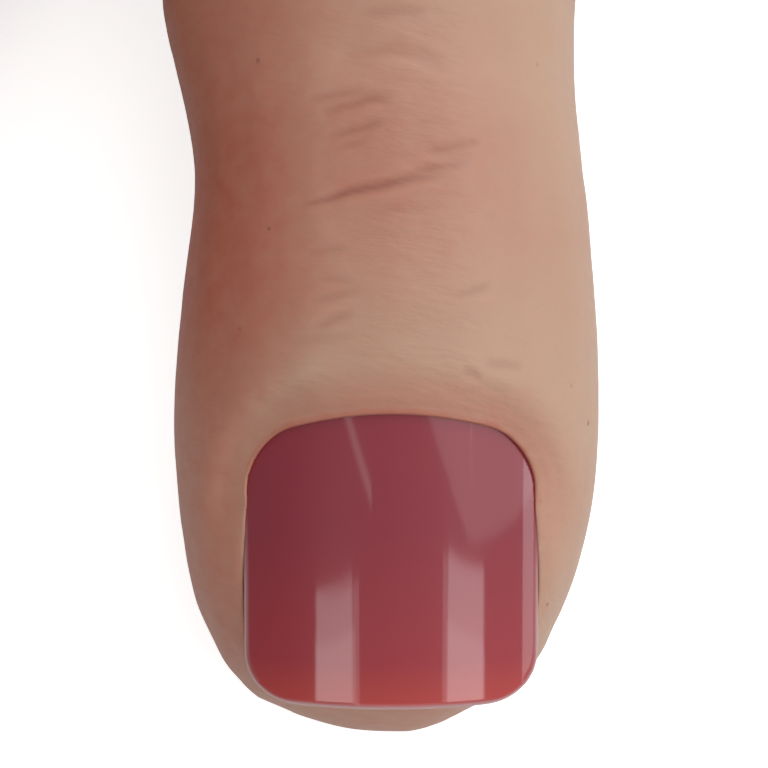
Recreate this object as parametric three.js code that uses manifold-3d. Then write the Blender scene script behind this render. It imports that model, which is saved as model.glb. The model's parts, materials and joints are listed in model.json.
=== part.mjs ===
// Nail practice foot: a life-size right foot of soft silicone over a rigid core and hinged toe bones.
// Millimetres. The toes point along -Y, the big toe is on the +X side, +Z is up, the sole rests at z = 0.
// Each toe lifts at its base pin and at its knuckle pin, and each nail slides forwards out of its slot.

import * as THREE from "three";
import { mergeVertices } from "three/addons/utils/BufferGeometryUtils.js";
import Module from "manifold-3d";

const wasm = await Module();
wasm.setup();

// Clearances and facet counts
const clearance = 0.3;
const cutOverrun = 40;
const footPoints = 28;
const corePoints = 12;
const bigToePoints = 20;
const smallToePoints = 14;
const roundSides = 10;
const bumpSides = 8;
const nailArcSteps = 6;
const cornerSteps = 3;

// Foot and ankle
const heelToBall = 175;
const ballWidth = 92;
const instepHeight = 78;
const soleRelief = 0.8;
const leastReach = 0.8;
const archHeight = 15;
const ankleTop = 116;
const ankleDepth = 62;
const ankleWidth = 52;
const ankleFromHeel = 43;
const skinWall = 4.5;
const rootSeam = 5;
const webReach = 2.5;

// Ankle bones that show at both sides
const ankleBoneRadius = 14;
const ankleBoneProud = 6;
const ankleBoneReachShare = 0.49;
const innerBoneHeight = 77;
const outerBoneHeight = 68;
const innerBoneFromHeel = 50;
const outerBoneFromHeel = 42;

// Cap over the cut ankle and its screws
const capThickness = 4;
const capScrewCount = 3;
const capScrewRadius = 1.75;
const capScrewLength = 14;
const capScrewHeadRadius = 3.2;
const capScrewHeadHeight = 2.2;
const capSlotWidth = 1;
const capSlotDepth = 1.1;
const capScrewTurnShare = 0.25;
const capScrewCircleShare = 0.288;

// Hinges: the bone's tongue turns on a pin between two lugs
const bigHinge = { pinRadius: 1.5, lugRadius: 4.5, tongueWidth: 5, lugWidth: 2.5 };
const smallHinge = { pinRadius: 1, lugRadius: 2.7, tongueWidth: 2.4, lugWidth: 1.4 };

// Nails
const bigNailThickness = 1;
const smallNailThickness = 0.8;

// Toes from the inner side to the outer: where the base pin lies, how far the toe turns, and its own
// sizes. Across and width follow ballWidth, fromHeel and length heelToBall, and heights instepHeight.
// In a nail's shares, lengths follow the toe's length, the crown its height and the rest its width.
const toeShares = [
  {
    name: "big_toe", across: 0.2815, fromHeel: 1.0771, turnDegrees: 8, length: 0.2943, width: 0.2826,
    height: 0.2974, rootHeight: 0.4038, basePinHeight: 0.1923, knucklePinHeight: 0.1603,
    boneTipHeight: 0.1154,
    nail: {
      width: 0.6615, length: 0.334, underFold: 0.0466, sag: 0.1231, frontGap: 0.0233, crown: 0.6853,
      slopeDegrees: 14, backRadius: 0.2115, frontRadius: 0.0846,
    },
  },
  {
    name: "second_toe", across: -0.0196, fromHeel: 1.0943, turnDegrees: -12, length: 0.2314, width: 0.1587,
    height: 0.2564, rootHeight: 0.3654, basePinHeight: 0.1795, knucklePinHeight: 0.1692,
    boneTipHeight: 0.0769,
    nail: {
      width: 0.6575, length: 0.237, underFold: 0.0395, sag: 0.137, frontGap: 0.0148, crown: 0.53,
      slopeDegrees: 24, backRadius: 0.2192, frontRadius: 0.1027,
    },
  },
  {
    name: "third_toe", across: -0.1783, fromHeel: 1.0571, turnDegrees: -17, length: 0.2, width: 0.1543,
    height: 0.2385, rootHeight: 0.3397, basePinHeight: 0.1667, knucklePinHeight: 0.1564,
    boneTipHeight: 0.0718,
    nail: {
      width: 0.6338, length: 0.2514, underFold: 0.0457, sag: 0.1338, frontGap: 0.0171, crown: 0.5269,
      slopeDegrees: 25, backRadius: 0.2113, frontRadius: 0.0986,
    },
  },
  {
    name: "fourth_toe", across: -0.3196, fromHeel: 1, turnDegrees: -23, length: 0.1743, width: 0.15,
    height: 0.2231, rootHeight: 0.3141, basePinHeight: 0.1538, knucklePinHeight: 0.1436,
    boneTipHeight: 0.0667,
    nail: {
      width: 0.6087, length: 0.2623, underFold: 0.0525, sag: 0.1304, frontGap: 0.0197, crown: 0.523,
      slopeDegrees: 26, backRadius: 0.2029, frontRadius: 0.0942,
    },
  },
  {
    name: "little_toe", across: -0.4587, fromHeel: 0.9257, turnDegrees: -30, length: 0.1457, width: 0.1478,
    height: 0.2077, rootHeight: 0.2756, basePinHeight: 0.1385, knucklePinHeight: 0.1308,
    boneTipHeight: 0.0564,
    nail: {
      width: 0.5441, length: 0.2588, underFold: 0.0549, sag: 0.1176, frontGap: 0.0196, crown: 0.537,
      slopeDegrees: 27, backRadius: 0.1838, frontRadius: 0.0882,
    },
  },
];

// Where each toe's skin is parted, as shares of its length from the base pin
const knucklePinShare = 0.363;
const bigKnucklePinShare = 0.445;
const rootFrontShare = 0.13;
const knuckleHalfShare = 0.12;
const boneTipShare = 0.8;
const boneHeightShare = 0.85;
const forkReachShare = 0.42;
const firstLaneShare = 0.815;

// Rows of the foot from the heel forwards, with how far along, the middle, the half width, the top and
// bottom, the lift of the inner arch, the fall of the top towards the outer side and the sideways lean
// of the ridge. Along follows heelToBall, across ballWidth, the arch archHeight, the rest instepHeight.
const footRowShares = [
  { along: 0, across: -0.02, halfWidth: 0.05, top: 0.34, bottom: 0.22, arch: 0, fall: 0, lean: 0 },
  { along: 0.012, across: -0.02, halfWidth: 0.14, top: 0.48, bottom: 0.11, arch: 0, fall: 0, lean: 0 },
  { along: 0.04, across: -0.02, halfWidth: 0.225, top: 0.64, bottom: 0.032, arch: 0, fall: 0, lean: 0 },
  { along: 0.09, across: -0.02, halfWidth: 0.29, top: 0.78, bottom: 0, arch: 0, fall: 0, lean: 0 },
  { along: 0.16, across: -0.018, halfWidth: 0.325, top: 0.88, bottom: 0, arch: 0, fall: 0, lean: 0 },
  { along: 0.25, across: -0.015, halfWidth: 0.335, top: 0.95, bottom: 0, arch: 0.12, fall: 0, lean: 0 },
  { along: 0.34, across: -0.012, halfWidth: 0.335, top: 1, bottom: 0, arch: 0.42, fall: 0, lean: 0.01 },
  { along: 0.43, across: -0.01, halfWidth: 0.34, top: 0.99, bottom: 0, arch: 0.8, fall: 0.02, lean: 0.03 },
  { along: 0.52, across: -0.01, halfWidth: 0.355, top: 0.91, bottom: 0, arch: 1, fall: 0.05, lean: 0.055 },
  { along: 0.61, across: -0.015, halfWidth: 0.38, top: 0.81, bottom: 0, arch: 0.95, fall: 0.08, lean: 0.08 },
  { along: 0.7, across: -0.02, halfWidth: 0.41, top: 0.71, bottom: 0, arch: 0.72, fall: 0.11, lean: 0.1 },
  { along: 0.79, across: -0.028, halfWidth: 0.44, top: 0.62, bottom: 0, arch: 0.36, fall: 0.13, lean: 0.12 },
  { along: 0.87, across: -0.036, halfWidth: 0.465, top: 0.545, bottom: 0, arch: 0.08, fall: 0.15, lean: 0.13 },
  { along: 0.94, across: -0.04, halfWidth: 0.478, top: 0.495, bottom: 0, arch: 0, fall: 0.17, lean: 0.13 },
  { along: 1, across: -0.038, halfWidth: 0.478, top: 0.455, bottom: 0, arch: 0, fall: 0.18, lean: 0.13 },
  { along: 1.05, across: -0.034, halfWidth: 0.472, top: 0.42, bottom: 0.005, arch: 0, fall: 0.18, lean: 0.13 },
  { along: 1.13, across: -0.02, halfWidth: 0.45, top: 0.36, bottom: 0.05, arch: 0, fall: 0.17, lean: 0.1 },
];

// Rows of the ankle upwards: the height follows ankleTop, the depth ankleDepth, the width ankleWidth,
// and the middle moves forwards by a share of ankleDepth.
const ankleRowShares = [
  { height: 0.24, depth: 1.02, width: 0.98, forwards: 0.02 },
  { height: 0.42, depth: 1.14, width: 1.08, forwards: 0.04 },
  { height: 0.54, depth: 1.17, width: 1.12, forwards: 0.05 },
  { height: 0.65, depth: 1.1, width: 1.08, forwards: 0.02 },
  { height: 0.76, depth: 1.02, width: 1, forwards: -0.01 },
  { height: 0.88, depth: 0.99, width: 0.97, forwards: -0.02 },
  { height: 1, depth: 1, width: 1, forwards: 0 },
];

// Rows of a toe from behind its base pin to its tip: along follows the toe's length, the half width
// its width, the top its height and, near the root, its rootHeight, and the bottom its height.
const bigToeRowShares = [
  { along: -0.185, halfWidth: 0.55, top: 1, root: 1.18, bottom: -0.01 },
  { along: -0.05, halfWidth: 0.532, top: 1, root: 0.86, bottom: 0.01 },
  { along: 0.087, halfWidth: 0.503, top: 1, root: 0.46, bottom: 0.12 },
  { along: 0.223, halfWidth: 0.476, top: 1, root: 0.18, bottom: 0.19 },
  { along: 0.34, halfWidth: 0.467, top: 1, root: 0.03, bottom: 0.185 },
  { along: 0.445, halfWidth: 0.485, top: 0.99, root: 0, bottom: 0.12 },
  { along: 0.55, halfWidth: 0.498, top: 0.955, root: 0, bottom: 0.035 },
  { along: 0.654, halfWidth: 0.5, top: 0.895, root: 0, bottom: -0.012 },
  { along: 0.76, halfWidth: 0.478, top: 0.815, root: 0, bottom: -0.02 },
  { along: 0.852, halfWidth: 0.43, top: 0.73, root: 0, bottom: 0 },
  { along: 0.926, halfWidth: 0.356, top: 0.635, root: 0, bottom: 0.06 },
  { along: 0.977, halfWidth: 0.235, top: 0.53, root: 0, bottom: 0.16 },
  { along: 1, halfWidth: 0.1, top: 0.41, root: 0, bottom: 0.26 },
];
const smallToeRowShares = [
  { along: -0.242, halfWidth: 0.5, top: 1, root: 1.15, bottom: 0 },
  { along: -0.062, halfWidth: 0.49, top: 1, root: 0.78, bottom: 0.06 },
  { along: 0.098, halfWidth: 0.465, top: 1, root: 0.36, bottom: 0.2 },
  { along: 0.235, halfWidth: 0.448, top: 1.01, root: 0.08, bottom: 0.3 },
  { along: 0.363, halfWidth: 0.47, top: 1, root: 0, bottom: 0.3 },
  { along: 0.49, halfWidth: 0.465, top: 0.92, root: 0, bottom: 0.2 },
  { along: 0.617, halfWidth: 0.475, top: 0.81, root: 0, bottom: 0.06 },
  { along: 0.746, halfWidth: 0.5, top: 0.7, root: 0, bottom: -0.015 },
  { along: 0.862, halfWidth: 0.475, top: 0.6, root: 0, bottom: -0.02 },
  { along: 0.936, halfWidth: 0.39, top: 0.5, root: 0, bottom: 0.03 },
  { along: 0.98, halfWidth: 0.25, top: 0.4, root: 0, bottom: 0.11 },
  { along: 1, halfWidth: 0.1, top: 0.3, root: 0, bottom: 0.18 },
];

// Where a section is widest, as a share of its height, and how square its upper and lower halves are
const widestShare = 0.42;
const upperPower = 0.9;
const lowerPower = 0.68;
const heelNarrowShare = 0.24;

// Materials
const skin = { color: 0xb5836e, roughness: 0.55, metalness: 0 };
const bone = { color: 0xe6e1d6, roughness: 0.5, metalness: 0 };
const steel = { color: 0xb9bcc0, roughness: 0.35, metalness: 1 };
const gloss = { color: 0x8c3f4a, roughness: 0.12, metalness: 0 };

// Toe sizes
function sizedToe(shares, place) {
  const length = shares.length * heelToBall;
  const width = shares.width * ballWidth;
  const height = shares.height * instepHeight;
  const big = place === 0;
  return {
    name: shares.name,
    hinge: big ? bigHinge : smallHinge,
    across: shares.across * ballWidth,
    fromHeel: shares.fromHeel * heelToBall,
    turnDegrees: shares.turnDegrees,
    length,
    width,
    height,
    rootHeight: shares.rootHeight * instepHeight,
    basePinHeight: shares.basePinHeight * instepHeight,
    knucklePinHeight: shares.knucklePinHeight * instepHeight,
    boneTipHeight: shares.boneTipHeight * instepHeight,
    nail: {
      width: shares.nail.width * width,
      length: shares.nail.length * length,
      underFold: shares.nail.underFold * length,
      thickness: big ? bigNailThickness : smallNailThickness,
      sag: shares.nail.sag * width,
      frontGap: shares.nail.frontGap * length,
      crown: shares.nail.crown * height,
      slopeDegrees: shares.nail.slopeDegrees,
      backRadius: shares.nail.backRadius * width,
      frontRadius: shares.nail.frontRadius * width,
    },
  };
}

const toes = toeShares.map(sizedToe);

// Solids
function toSolid(geometry) {
  geometry.deleteAttribute("normal");
  geometry.deleteAttribute("uv");
  const merged = mergeVertices(geometry);
  const vertProperties = new Float32Array(merged.attributes.position.array);
  const triVerts = new Uint32Array(merged.index.array);
  return new wasm.Manifold(new wasm.Mesh({ numProp: 3, vertProperties, triVerts }));
}

function toGeometry(solid) {
  const { vertProperties, triVerts } = solid.getMesh();
  const geometry = new THREE.BufferGeometry();
  geometry.setAttribute("position", new THREE.BufferAttribute(new Float32Array(vertProperties), 3));
  geometry.setIndex(new THREE.BufferAttribute(new Uint32Array(triVerts), 1));
  return geometry;
}

function mirrored(value, power) {
  return Math.sign(value) * Math.abs(value) ** power;
}

// A closed skin over rings of points, each ring turning the same way round the line that they follow
function loft(rings) {
  const count = rings[0].length;
  const points = rings.flat();
  const middles = [rings[0], rings.at(-1)].map((ring) =>
    ring.reduce((sum, point) => sum.add(point), new THREE.Vector3()).divideScalar(count),
  );
  const index = [];
  for (let ring = 0; ring < rings.length - 1; ring += 1) {
    for (let step = 0; step < count; step += 1) {
      const here = ring * count + step;
      const next = ring * count + ((step + 1) % count);
      index.push(here, next, next + count, here, next + count, here + count);
    }
  }
  const last = (rings.length - 1) * count;
  const firstMiddle = points.length;
  for (let step = 0; step < count; step += 1) {
    const next = (step + 1) % count;
    index.push(firstMiddle, next, step, firstMiddle + 1, last + step, last + next);
  }
  const geometry = new THREE.BufferGeometry().setFromPoints([...points, ...middles]);
  geometry.setIndex(index);
  return toSolid(geometry);
}

// One upright section: widest at a set level, with a flatter underside, an arch lifting its inner
// side, a top that falls towards its outer side and a ridge leaning sideways
function sectionRing(section, along, count) {
  const widest = THREE.MathUtils.lerp(section.bottom, section.top, widestShare);
  const ring = [];
  for (let step = 0; step < count; step += 1) {
    const angle = (2 * Math.PI * step) / count;
    const over = Math.sin(angle) > 0;
    const power = over ? upperPower : lowerPower;
    const sideways = mirrored(Math.cos(angle), power);
    const upwards = mirrored(Math.sin(angle), power);
    const reach = over ? section.top - widest : widest - section.bottom;
    const inner = (1 + sideways) / 2;
    const lift = over ? -upwards * section.fall * (1 - inner) ** 2 : -upwards * section.arch * inner;
    const lean = over ? section.lean * upwards : 0;
    const x = section.across + section.halfWidth * sideways + lean;
    ring.push(new THREE.Vector3(x, -along, widest + reach * upwards + lift));
  }
  return ring;
}

function box(width, depth, height) {
  return toSolid(new THREE.BoxGeometry(width, depth, height));
}

// A round bar along X
function crossBar(radius, length, sides = roundSides) {
  const geometry = new THREE.CylinderGeometry(radius, radius, length, sides);
  geometry.rotateZ(Math.PI / 2);
  return toSolid(geometry);
}

// All of the space forwards of a distance along a toe
function forwardsOf(distance, halfWidth) {
  const reach = 2 * cutOverrun;
  return box(2 * halfWidth, 2 * reach, 2 * reach).translate([0, -distance - reach, 0]);
}

function joined(solids) {
  return solids.reduce((sum, solid) => sum.add(solid));
}

// Foot body
function footSolid(inset, count) {
  const halfLength = heelToBall / 2;
  const rings = footRowShares.map((row) => {
    const along = halfLength + (row.along * heelToBall - halfLength) * (1 - inset / halfLength);
    const floor = row.bottom * instepHeight - soleRelief;
    const section = {
      across: row.across * ballWidth,
      halfWidth: Math.max(row.halfWidth * ballWidth - inset, leastReach),
      top: Math.max(row.top * instepHeight - inset, floor + inset + leastReach),
      bottom: floor + inset,
      arch: row.arch * archHeight,
      fall: row.fall * instepHeight,
      lean: row.lean * ballWidth,
    };
    return sectionRing(section, along, count);
  });
  return loft(rings);
}

function ankleRing(row, inset, count) {
  const ring = [];
  for (let step = 0; step < count; step += 1) {
    const angle = (2 * Math.PI * step) / count;
    const forwards = Math.sin(angle);
    const narrow = 1 - heelNarrowShare * Math.max(-forwards, 0);
    const x = Math.cos(angle) * ((row.width * ankleWidth) / 2 - inset) * narrow;
    const y = forwards * ((row.depth * ankleDepth) / 2 - inset) + row.forwards * ankleDepth + ankleFromHeel;
    ring.push(new THREE.Vector3(x, -y, row.height * ankleTop));
  }
  return ring.reverse();
}

function ankleSolid(inset, count) {
  return loft(ankleRowShares.map((row) => ankleRing(row, inset, count)));
}

function ankleBone(side, fromHeel, height) {
  const bump = new THREE.SphereGeometry(ankleBoneRadius, bumpSides, bumpSides);
  bump.scale(ankleBoneProud / ankleBoneRadius, 1, 1);
  bump.translate(side * ankleBoneReachShare * ankleWidth, -fromHeel, height);
  return toSolid(bump);
}

function footOuter() {
  const body = joined([
    footSolid(0, footPoints),
    ankleSolid(0, footPoints),
    ankleBone(1, innerBoneFromHeel, innerBoneHeight),
    ankleBone(-1, outerBoneFromHeel, outerBoneHeight),
  ]);
  return aboveFloor(body);
}

function aboveFloor(solid) {
  const side = 2 * (heelToBall + cutOverrun);
  return solid.subtract(box(side, 2 * side, side).translate([0, 0, -side / 2]));
}

// A toe's own frame: its base pin lies over the origin and it points along -Y
function onFoot(toe, solid) {
  return solid.rotate([0, 0, toe.turnDegrees]).translate([toe.across, -toe.fromHeel, 0]);
}

function toeOuter(toe) {
  const big = toe.hinge === bigHinge;
  const rows = big ? bigToeRowShares : smallToeRowShares;
  const rings = rows.map((row) => {
    const section = {
      across: 0,
      halfWidth: row.halfWidth * toe.width,
      top: row.top * toe.height + row.root * (toe.rootHeight - toe.height),
      bottom: row.bottom * toe.height,
      arch: 0,
      fall: 0,
      lean: 0,
    };
    return sectionRing(section, row.along * toe.length, big ? bigToePoints : smallToePoints);
  });
  return aboveFloor(loft(rings));
}

function knucklePin(toe) {
  const share = toe.hinge === bigHinge ? bigKnucklePinShare : knucklePinShare;
  return { along: share * toe.length, height: toe.knucklePinHeight };
}

function hingeWidth(hinge) {
  return hinge.tongueWidth + 2 * (clearance + hinge.lugWidth);
}

// A flat bar between two points of a toe's own middle plane
function boneBar(from, to, width, height) {
  const run = Math.hypot(to.along - from.along, to.height - from.height);
  const drop = Math.atan2(from.height - to.height, to.along - from.along);
  const middle = [0, -(from.along + to.along) / 2, (from.height + to.height) / 2];
  return box(width, run, height).rotate([THREE.MathUtils.radToDeg(drop), 0, 0]).translate(middle);
}

function at(place, solid) {
  return solid.translate([0, -place.along, place.height]);
}

function toePlaces(toe) {
  const base = { along: 0, height: toe.basePinHeight };
  const knuckle = knucklePin(toe);
  const tip = { along: boneTipShare * toe.length, height: toe.boneTipHeight };
  return { base, knuckle, tip };
}

// The block on the core that carries a toe's two base lugs, thickened by the margin
function forkBlock(toe, margin) {
  const { base } = toePlaces(toe);
  const width = hingeWidth(toe.hinge) + 2 * margin;
  const radius = toe.hinge.lugRadius + margin;
  const back = { along: -forkReachShare * toe.length - margin, height: toe.basePinHeight };
  return boneBar(back, base, width, 2 * radius).add(at(base, crossBar(radius, width)));
}

// The room that a toe's bones, pins and hinges take in the silicone
function boneSpace(toe, margin) {
  const { base, knuckle, tip } = toePlaces(toe);
  const width = hingeWidth(toe.hinge) + 2 * margin;
  const height = 2 * toe.hinge.lugRadius * boneHeightShare + 2 * margin;
  const round = crossBar(toe.hinge.lugRadius + margin, width);
  return joined([
    forkBlock(toe, margin),
    at(knuckle, round),
    boneBar(base, knuckle, width, height),
    boneBar(knuckle, tip, width, height).add(at(tip, round)),
  ]);
}

// What the tongue needs between the lugs, and the bore for the pin
function tongueSpace(toe, place) {
  const { hinge } = toe;
  const round = crossBar(hinge.lugRadius + clearance, hinge.tongueWidth + 2 * clearance);
  return at(place, round);
}

function pinBore(toe, place) {
  const { hinge } = toe;
  return at(place, crossBar(hinge.pinRadius + clearance, hingeWidth(hinge) + cutOverrun));
}

function baseBone(toe) {
  const { base, knuckle } = toePlaces(toe);
  const { hinge } = toe;
  const height = 2 * hinge.lugRadius * boneHeightShare;
  const bar = boneBar(base, knuckle, hingeWidth(hinge), height);
  const lugs = at(knuckle, crossBar(hinge.lugRadius, hingeWidth(hinge)));
  const forkRoom = at(base, crossBar(hinge.lugRadius + clearance, hingeWidth(hinge) + cutOverrun));
  const tongue = at(base, crossBar(hinge.lugRadius, hinge.tongueWidth)).add(
    boneBar(base, knuckle, hinge.tongueWidth, height),
  );
  return bar
    .add(lugs)
    .subtract(forkRoom)
    .subtract(tongueSpace(toe, knuckle))
    .add(tongue.subtract(tongueSpace(toe, knuckle)))
    .subtract(pinBore(toe, base))
    .subtract(pinBore(toe, knuckle));
}

function tipBone(toe) {
  const { knuckle, tip } = toePlaces(toe);
  const { hinge } = toe;
  const height = 2 * hinge.lugRadius * boneHeightShare;
  const bar = boneBar(knuckle, tip, hingeWidth(hinge), height);
  const end = at(tip, crossBar(hinge.lugRadius, hingeWidth(hinge)));
  const forkRoom = at(knuckle, crossBar(hinge.lugRadius + clearance, hingeWidth(hinge) + cutOverrun));
  const tongue = at(knuckle, crossBar(hinge.lugRadius, hinge.tongueWidth)).add(
    boneBar(knuckle, tip, hinge.tongueWidth, height),
  );
  return bar.add(end).subtract(forkRoom).add(tongue).subtract(pinBore(toe, knuckle));
}

// Nails: straight lengthwise and curved crosswise, in a frame with the crown of the free edge at the
// origin and the nail running back along +Y
function nailPlan(nail, margin, back) {
  const half = nail.width / 2 + margin;
  const shape = new THREE.Shape();
  const front = nail.frontRadius;
  const rear = nail.backRadius;
  shape.moveTo(front - half, 0);
  shape.lineTo(half - front, 0);
  shape.absarc(half - front, front, front, -Math.PI / 2, 0);
  shape.lineTo(half, back - rear);
  shape.absarc(half - rear, back - rear, rear, 0, Math.PI / 2);
  shape.lineTo(rear - half, back);
  shape.absarc(rear - half, back - rear, rear, Math.PI / 2, Math.PI);
  shape.lineTo(-half, front);
  shape.absarc(front - half, front, front, Math.PI, 1.5 * Math.PI);
  return shape;
}

function planPrism(shape, height) {
  const settings = { depth: height, bevelEnabled: false, curveSegments: cornerSteps };
  const geometry = new THREE.ExtrudeGeometry(shape, settings);
  geometry.translate(0, 0, -height / 2);
  return toSolid(geometry);
}

function nailRadius(nail) {
  return (nail.width ** 2 / 4 + nail.sag ** 2) / (2 * nail.sag);
}

// The nail's crosswise curve, thickened both ways by the margin and run along the nail
function nailArch(nail, margin, run) {
  const outer = nailRadius(nail) + margin;
  const inner = outer - nail.thickness - 2 * margin;
  const half = Math.asin(nail.width / 2 / nailRadius(nail)) + margin / outer;
  const over = [];
  const under = [];
  for (let step = 0; step <= nailArcSteps; step += 1) {
    const angle = half - (2 * half * step) / nailArcSteps;
    over.push(new THREE.Vector2(outer * Math.sin(angle), outer * Math.cos(angle)));
    under.unshift(new THREE.Vector2(inner * Math.sin(angle), inner * Math.cos(angle)));
  }
  const shape = new THREE.Shape([...over, ...under]);
  const geometry = new THREE.ExtrudeGeometry(shape, { depth: run, bevelEnabled: false });
  geometry.rotateX(Math.PI / 2);
  geometry.translate(0, run, -nailRadius(nail));
  return toSolid(geometry);
}

function onToe(toe, solid) {
  const { nail } = toe;
  return solid
    .rotate([nail.slopeDegrees, 0, 0])
    .translate([0, nail.frontGap - toe.length, nail.crown]);
}

function nailSolid(toe) {
  const { nail } = toe;
  const full = nail.length + nail.underFold;
  const plate = nailArch(nail, 0, full);
  return onToe(toe, plate.intersect(planPrism(nailPlan(nail, 0, full), cutOverrun)));
}

// What lies open over the nail's bed, from in front of the toe back to the fold
function bedOpening(nail, margin) {
  const under = nailRadius(nail) - nail.thickness - margin;
  const half = Math.asin(nail.width / 2 / nailRadius(nail));
  const side = nail.width / 2 + margin;
  const points = [new THREE.Vector2(side, cutOverrun), new THREE.Vector2(-side, cutOverrun)];
  points.push(new THREE.Vector2(-side, under * Math.cos(half)));
  for (let step = 0; step <= nailArcSteps; step += 1) {
    const angle = -half + (2 * half * step) / nailArcSteps;
    points.push(new THREE.Vector2(under * Math.sin(angle), under * Math.cos(angle)));
  }
  points.push(new THREE.Vector2(side, under * Math.cos(half)));
  const run = nail.length + cutOverrun;
  const geometry = new THREE.ExtrudeGeometry(new THREE.Shape(points), { depth: run, bevelEnabled: false });
  geometry.rotateX(Math.PI / 2);
  geometry.translate(0, nail.length, -nailRadius(nail));
  const plan = planPrism(nailPlan(nail, margin, run), cutOverrun).translate([0, -cutOverrun, 0]);
  return toSolid(geometry).intersect(plan);
}

// The nail's slot under the fold, with the open bed in front of it
function nailSpace(toe) {
  const { nail } = toe;
  const full = nail.length + nail.underFold + clearance;
  const plan = planPrism(nailPlan(nail, clearance, full), cutOverrun);
  const slot = nailArch(nail, clearance, full).intersect(plan);
  return onToe(toe, slot.add(bedOpening(nail, clearance)));
}

// Toe skin: root, base, knuckle and tip lengths of one soft skin, parted across the toe
function skinLengths(toe) {
  const knuckle = knucklePin(toe).along;
  const half = knuckleHalfShare * toe.length;
  return {
    root: [-rootSeam, rootFrontShare * toe.length],
    base: [rootFrontShare * toe.length, knuckle - half],
    knuckle: [knuckle - half, knuckle + half],
    tip: [knuckle + half, toe.length + cutOverrun],
  };
}

function toeSkin(toe, [from, to]) {
  const side = toe.width * 2;
  return toeOuter(toe)
    .intersect(forwardsOf(from + clearance / 2, side))
    .subtract(forwardsOf(to - clearance / 2, side))
    .subtract(boneSpace(toe, clearance));
}

// The foot ends square to each toe: in the toe's own lane behind its base pin, beside it at the web.
// The first toe's lane is wide enough to take the web beside it too, and the lanes of the first and
// last toes run on sideways past the foot's edge.
function rootRoom(toe, place) {
  const first = place === 0;
  const half = toe.width * (first ? firstLaneShare : smallToeRowShares[0].halfWidth) + clearance;
  const lane = forwardsOf(-rootSeam - clearance / 2, half);
  const outwards = first - (place === toes.length - 1);
  const web = forwardsOf(webReach, toe.width);
  return onFoot(toe, joined([lane, lane.translate([outwards * half, 0, 0]), web]));
}

function footSkin() {
  const rooms = toes.map(rootRoom);
  const room = joined([footSolid(skinWall, corePoints), ankleSolid(skinWall, corePoints)]);
  const top = loft(capRings(skinWall, ankleTop - capThickness * 2, ankleTop + cutOverrun));
  const bones = toes.map((toe) => onFoot(toe, boneSpace(toe, clearance)));
  return footOuter().subtract(joined([...rooms, room, top, ...bones]));
}

function capRings(inset, from, to) {
  const row = ankleRowShares.at(-1);
  return [from, to].map((height) => ankleRing({ ...row, height: height / ankleTop }, inset, corePoints));
}

function capScrewPlaces() {
  const places = [];
  const circle = capScrewCircleShare * ankleWidth;
  for (let screw = 0; screw < capScrewCount; screw += 1) {
    const angle = (2 * Math.PI * (screw + capScrewTurnShare)) / capScrewCount;
    const y = -ankleFromHeel + circle * Math.sin(angle);
    places.push([circle * Math.cos(angle), y, ankleTop]);
  }
  return places;
}

function capScrewTurned(margin) {
  const head = capScrewHeadRadius + margin;
  const shank = capScrewRadius + margin;
  const points = [
    new THREE.Vector2(0, -capScrewLength - margin),
    new THREE.Vector2(shank, -capScrewLength - margin),
    new THREE.Vector2(shank, -capScrewHeadHeight - margin),
    new THREE.Vector2(head, -capScrewHeadHeight - margin),
    new THREE.Vector2(head, margin),
    new THREE.Vector2(0, margin),
  ];
  const geometry = new THREE.LatheGeometry(points, roundSides);
  geometry.rotateX(Math.PI / 2);
  return toSolid(geometry);
}

function capScrew() {
  const slot = box(2 * capScrewHeadRadius, capSlotWidth, 2 * capSlotDepth);
  return capScrewTurned(0).subtract(slot);
}

function screwRooms() {
  return joined(capScrewPlaces().map((place) => capScrewTurned(clearance).translate(place)));
}

function ankleCap() {
  const plate = loft(capRings(skinWall + clearance, ankleTop - capThickness, ankleTop));
  return plate.subtract(screwRooms());
}

function footCore() {
  const inset = skinWall + clearance;
  const above = box(ankleWidth * 2, ankleDepth * 2, cutOverrun).translate([
    0, -ankleFromHeel, ankleTop - capThickness - clearance + cutOverrun / 2,
  ]);
  const rooms = toes.map(rootRoom);
  const body = joined([footSolid(inset, corePoints), ankleSolid(inset, corePoints)])
    .subtract(above)
    .subtract(joined(rooms))
    .add(joined(toes.map((toe) => onFoot(toe, forkBlock(toe, 0)))));
  const tongues = toes.map((toe) => {
    const { base } = toePlaces(toe);
    return onFoot(toe, tongueSpace(toe, base).add(pinBore(toe, base)));
  });
  return body.subtract(joined(tongues)).subtract(screwRooms());
}

// Assembly
const foot = new THREE.Group();

function add(name, solid, look) {
  const mesh = new THREE.Mesh(toGeometry(solid), new THREE.MeshStandardMaterial(look));
  mesh.name = name;
  foot.add(mesh);
  return mesh;
}

function addToe(toe) {
  const lengths = skinLengths(toe);
  const { base, knuckle } = toePlaces(toe);
  const pin = crossBar(toe.hinge.pinRadius, hingeWidth(toe.hinge));
  add(`${toe.name}_root_skin`, onFoot(toe, toeSkin(toe, lengths.root)), skin);
  add(`${toe.name}_base_skin`, onFoot(toe, toeSkin(toe, lengths.base)), skin);
  add(`${toe.name}_knuckle_skin`, onFoot(toe, toeSkin(toe, lengths.knuckle)), skin);
  add(`${toe.name}_tip_skin`, onFoot(toe, toeSkin(toe, lengths.tip).subtract(nailSpace(toe))), skin);
  add(`${toe.name}_base_bone`, onFoot(toe, baseBone(toe)), bone);
  add(`${toe.name}_tip_bone`, onFoot(toe, tipBone(toe)), bone);
  add(`${toe.name}_base_pin`, onFoot(toe, at(base, pin)), steel);
  add(`${toe.name}_tip_pin`, onFoot(toe, at(knuckle, pin)), steel);
  add(`${toe.name}_nail`, onFoot(toe, nailSolid(toe)), gloss);
}

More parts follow.
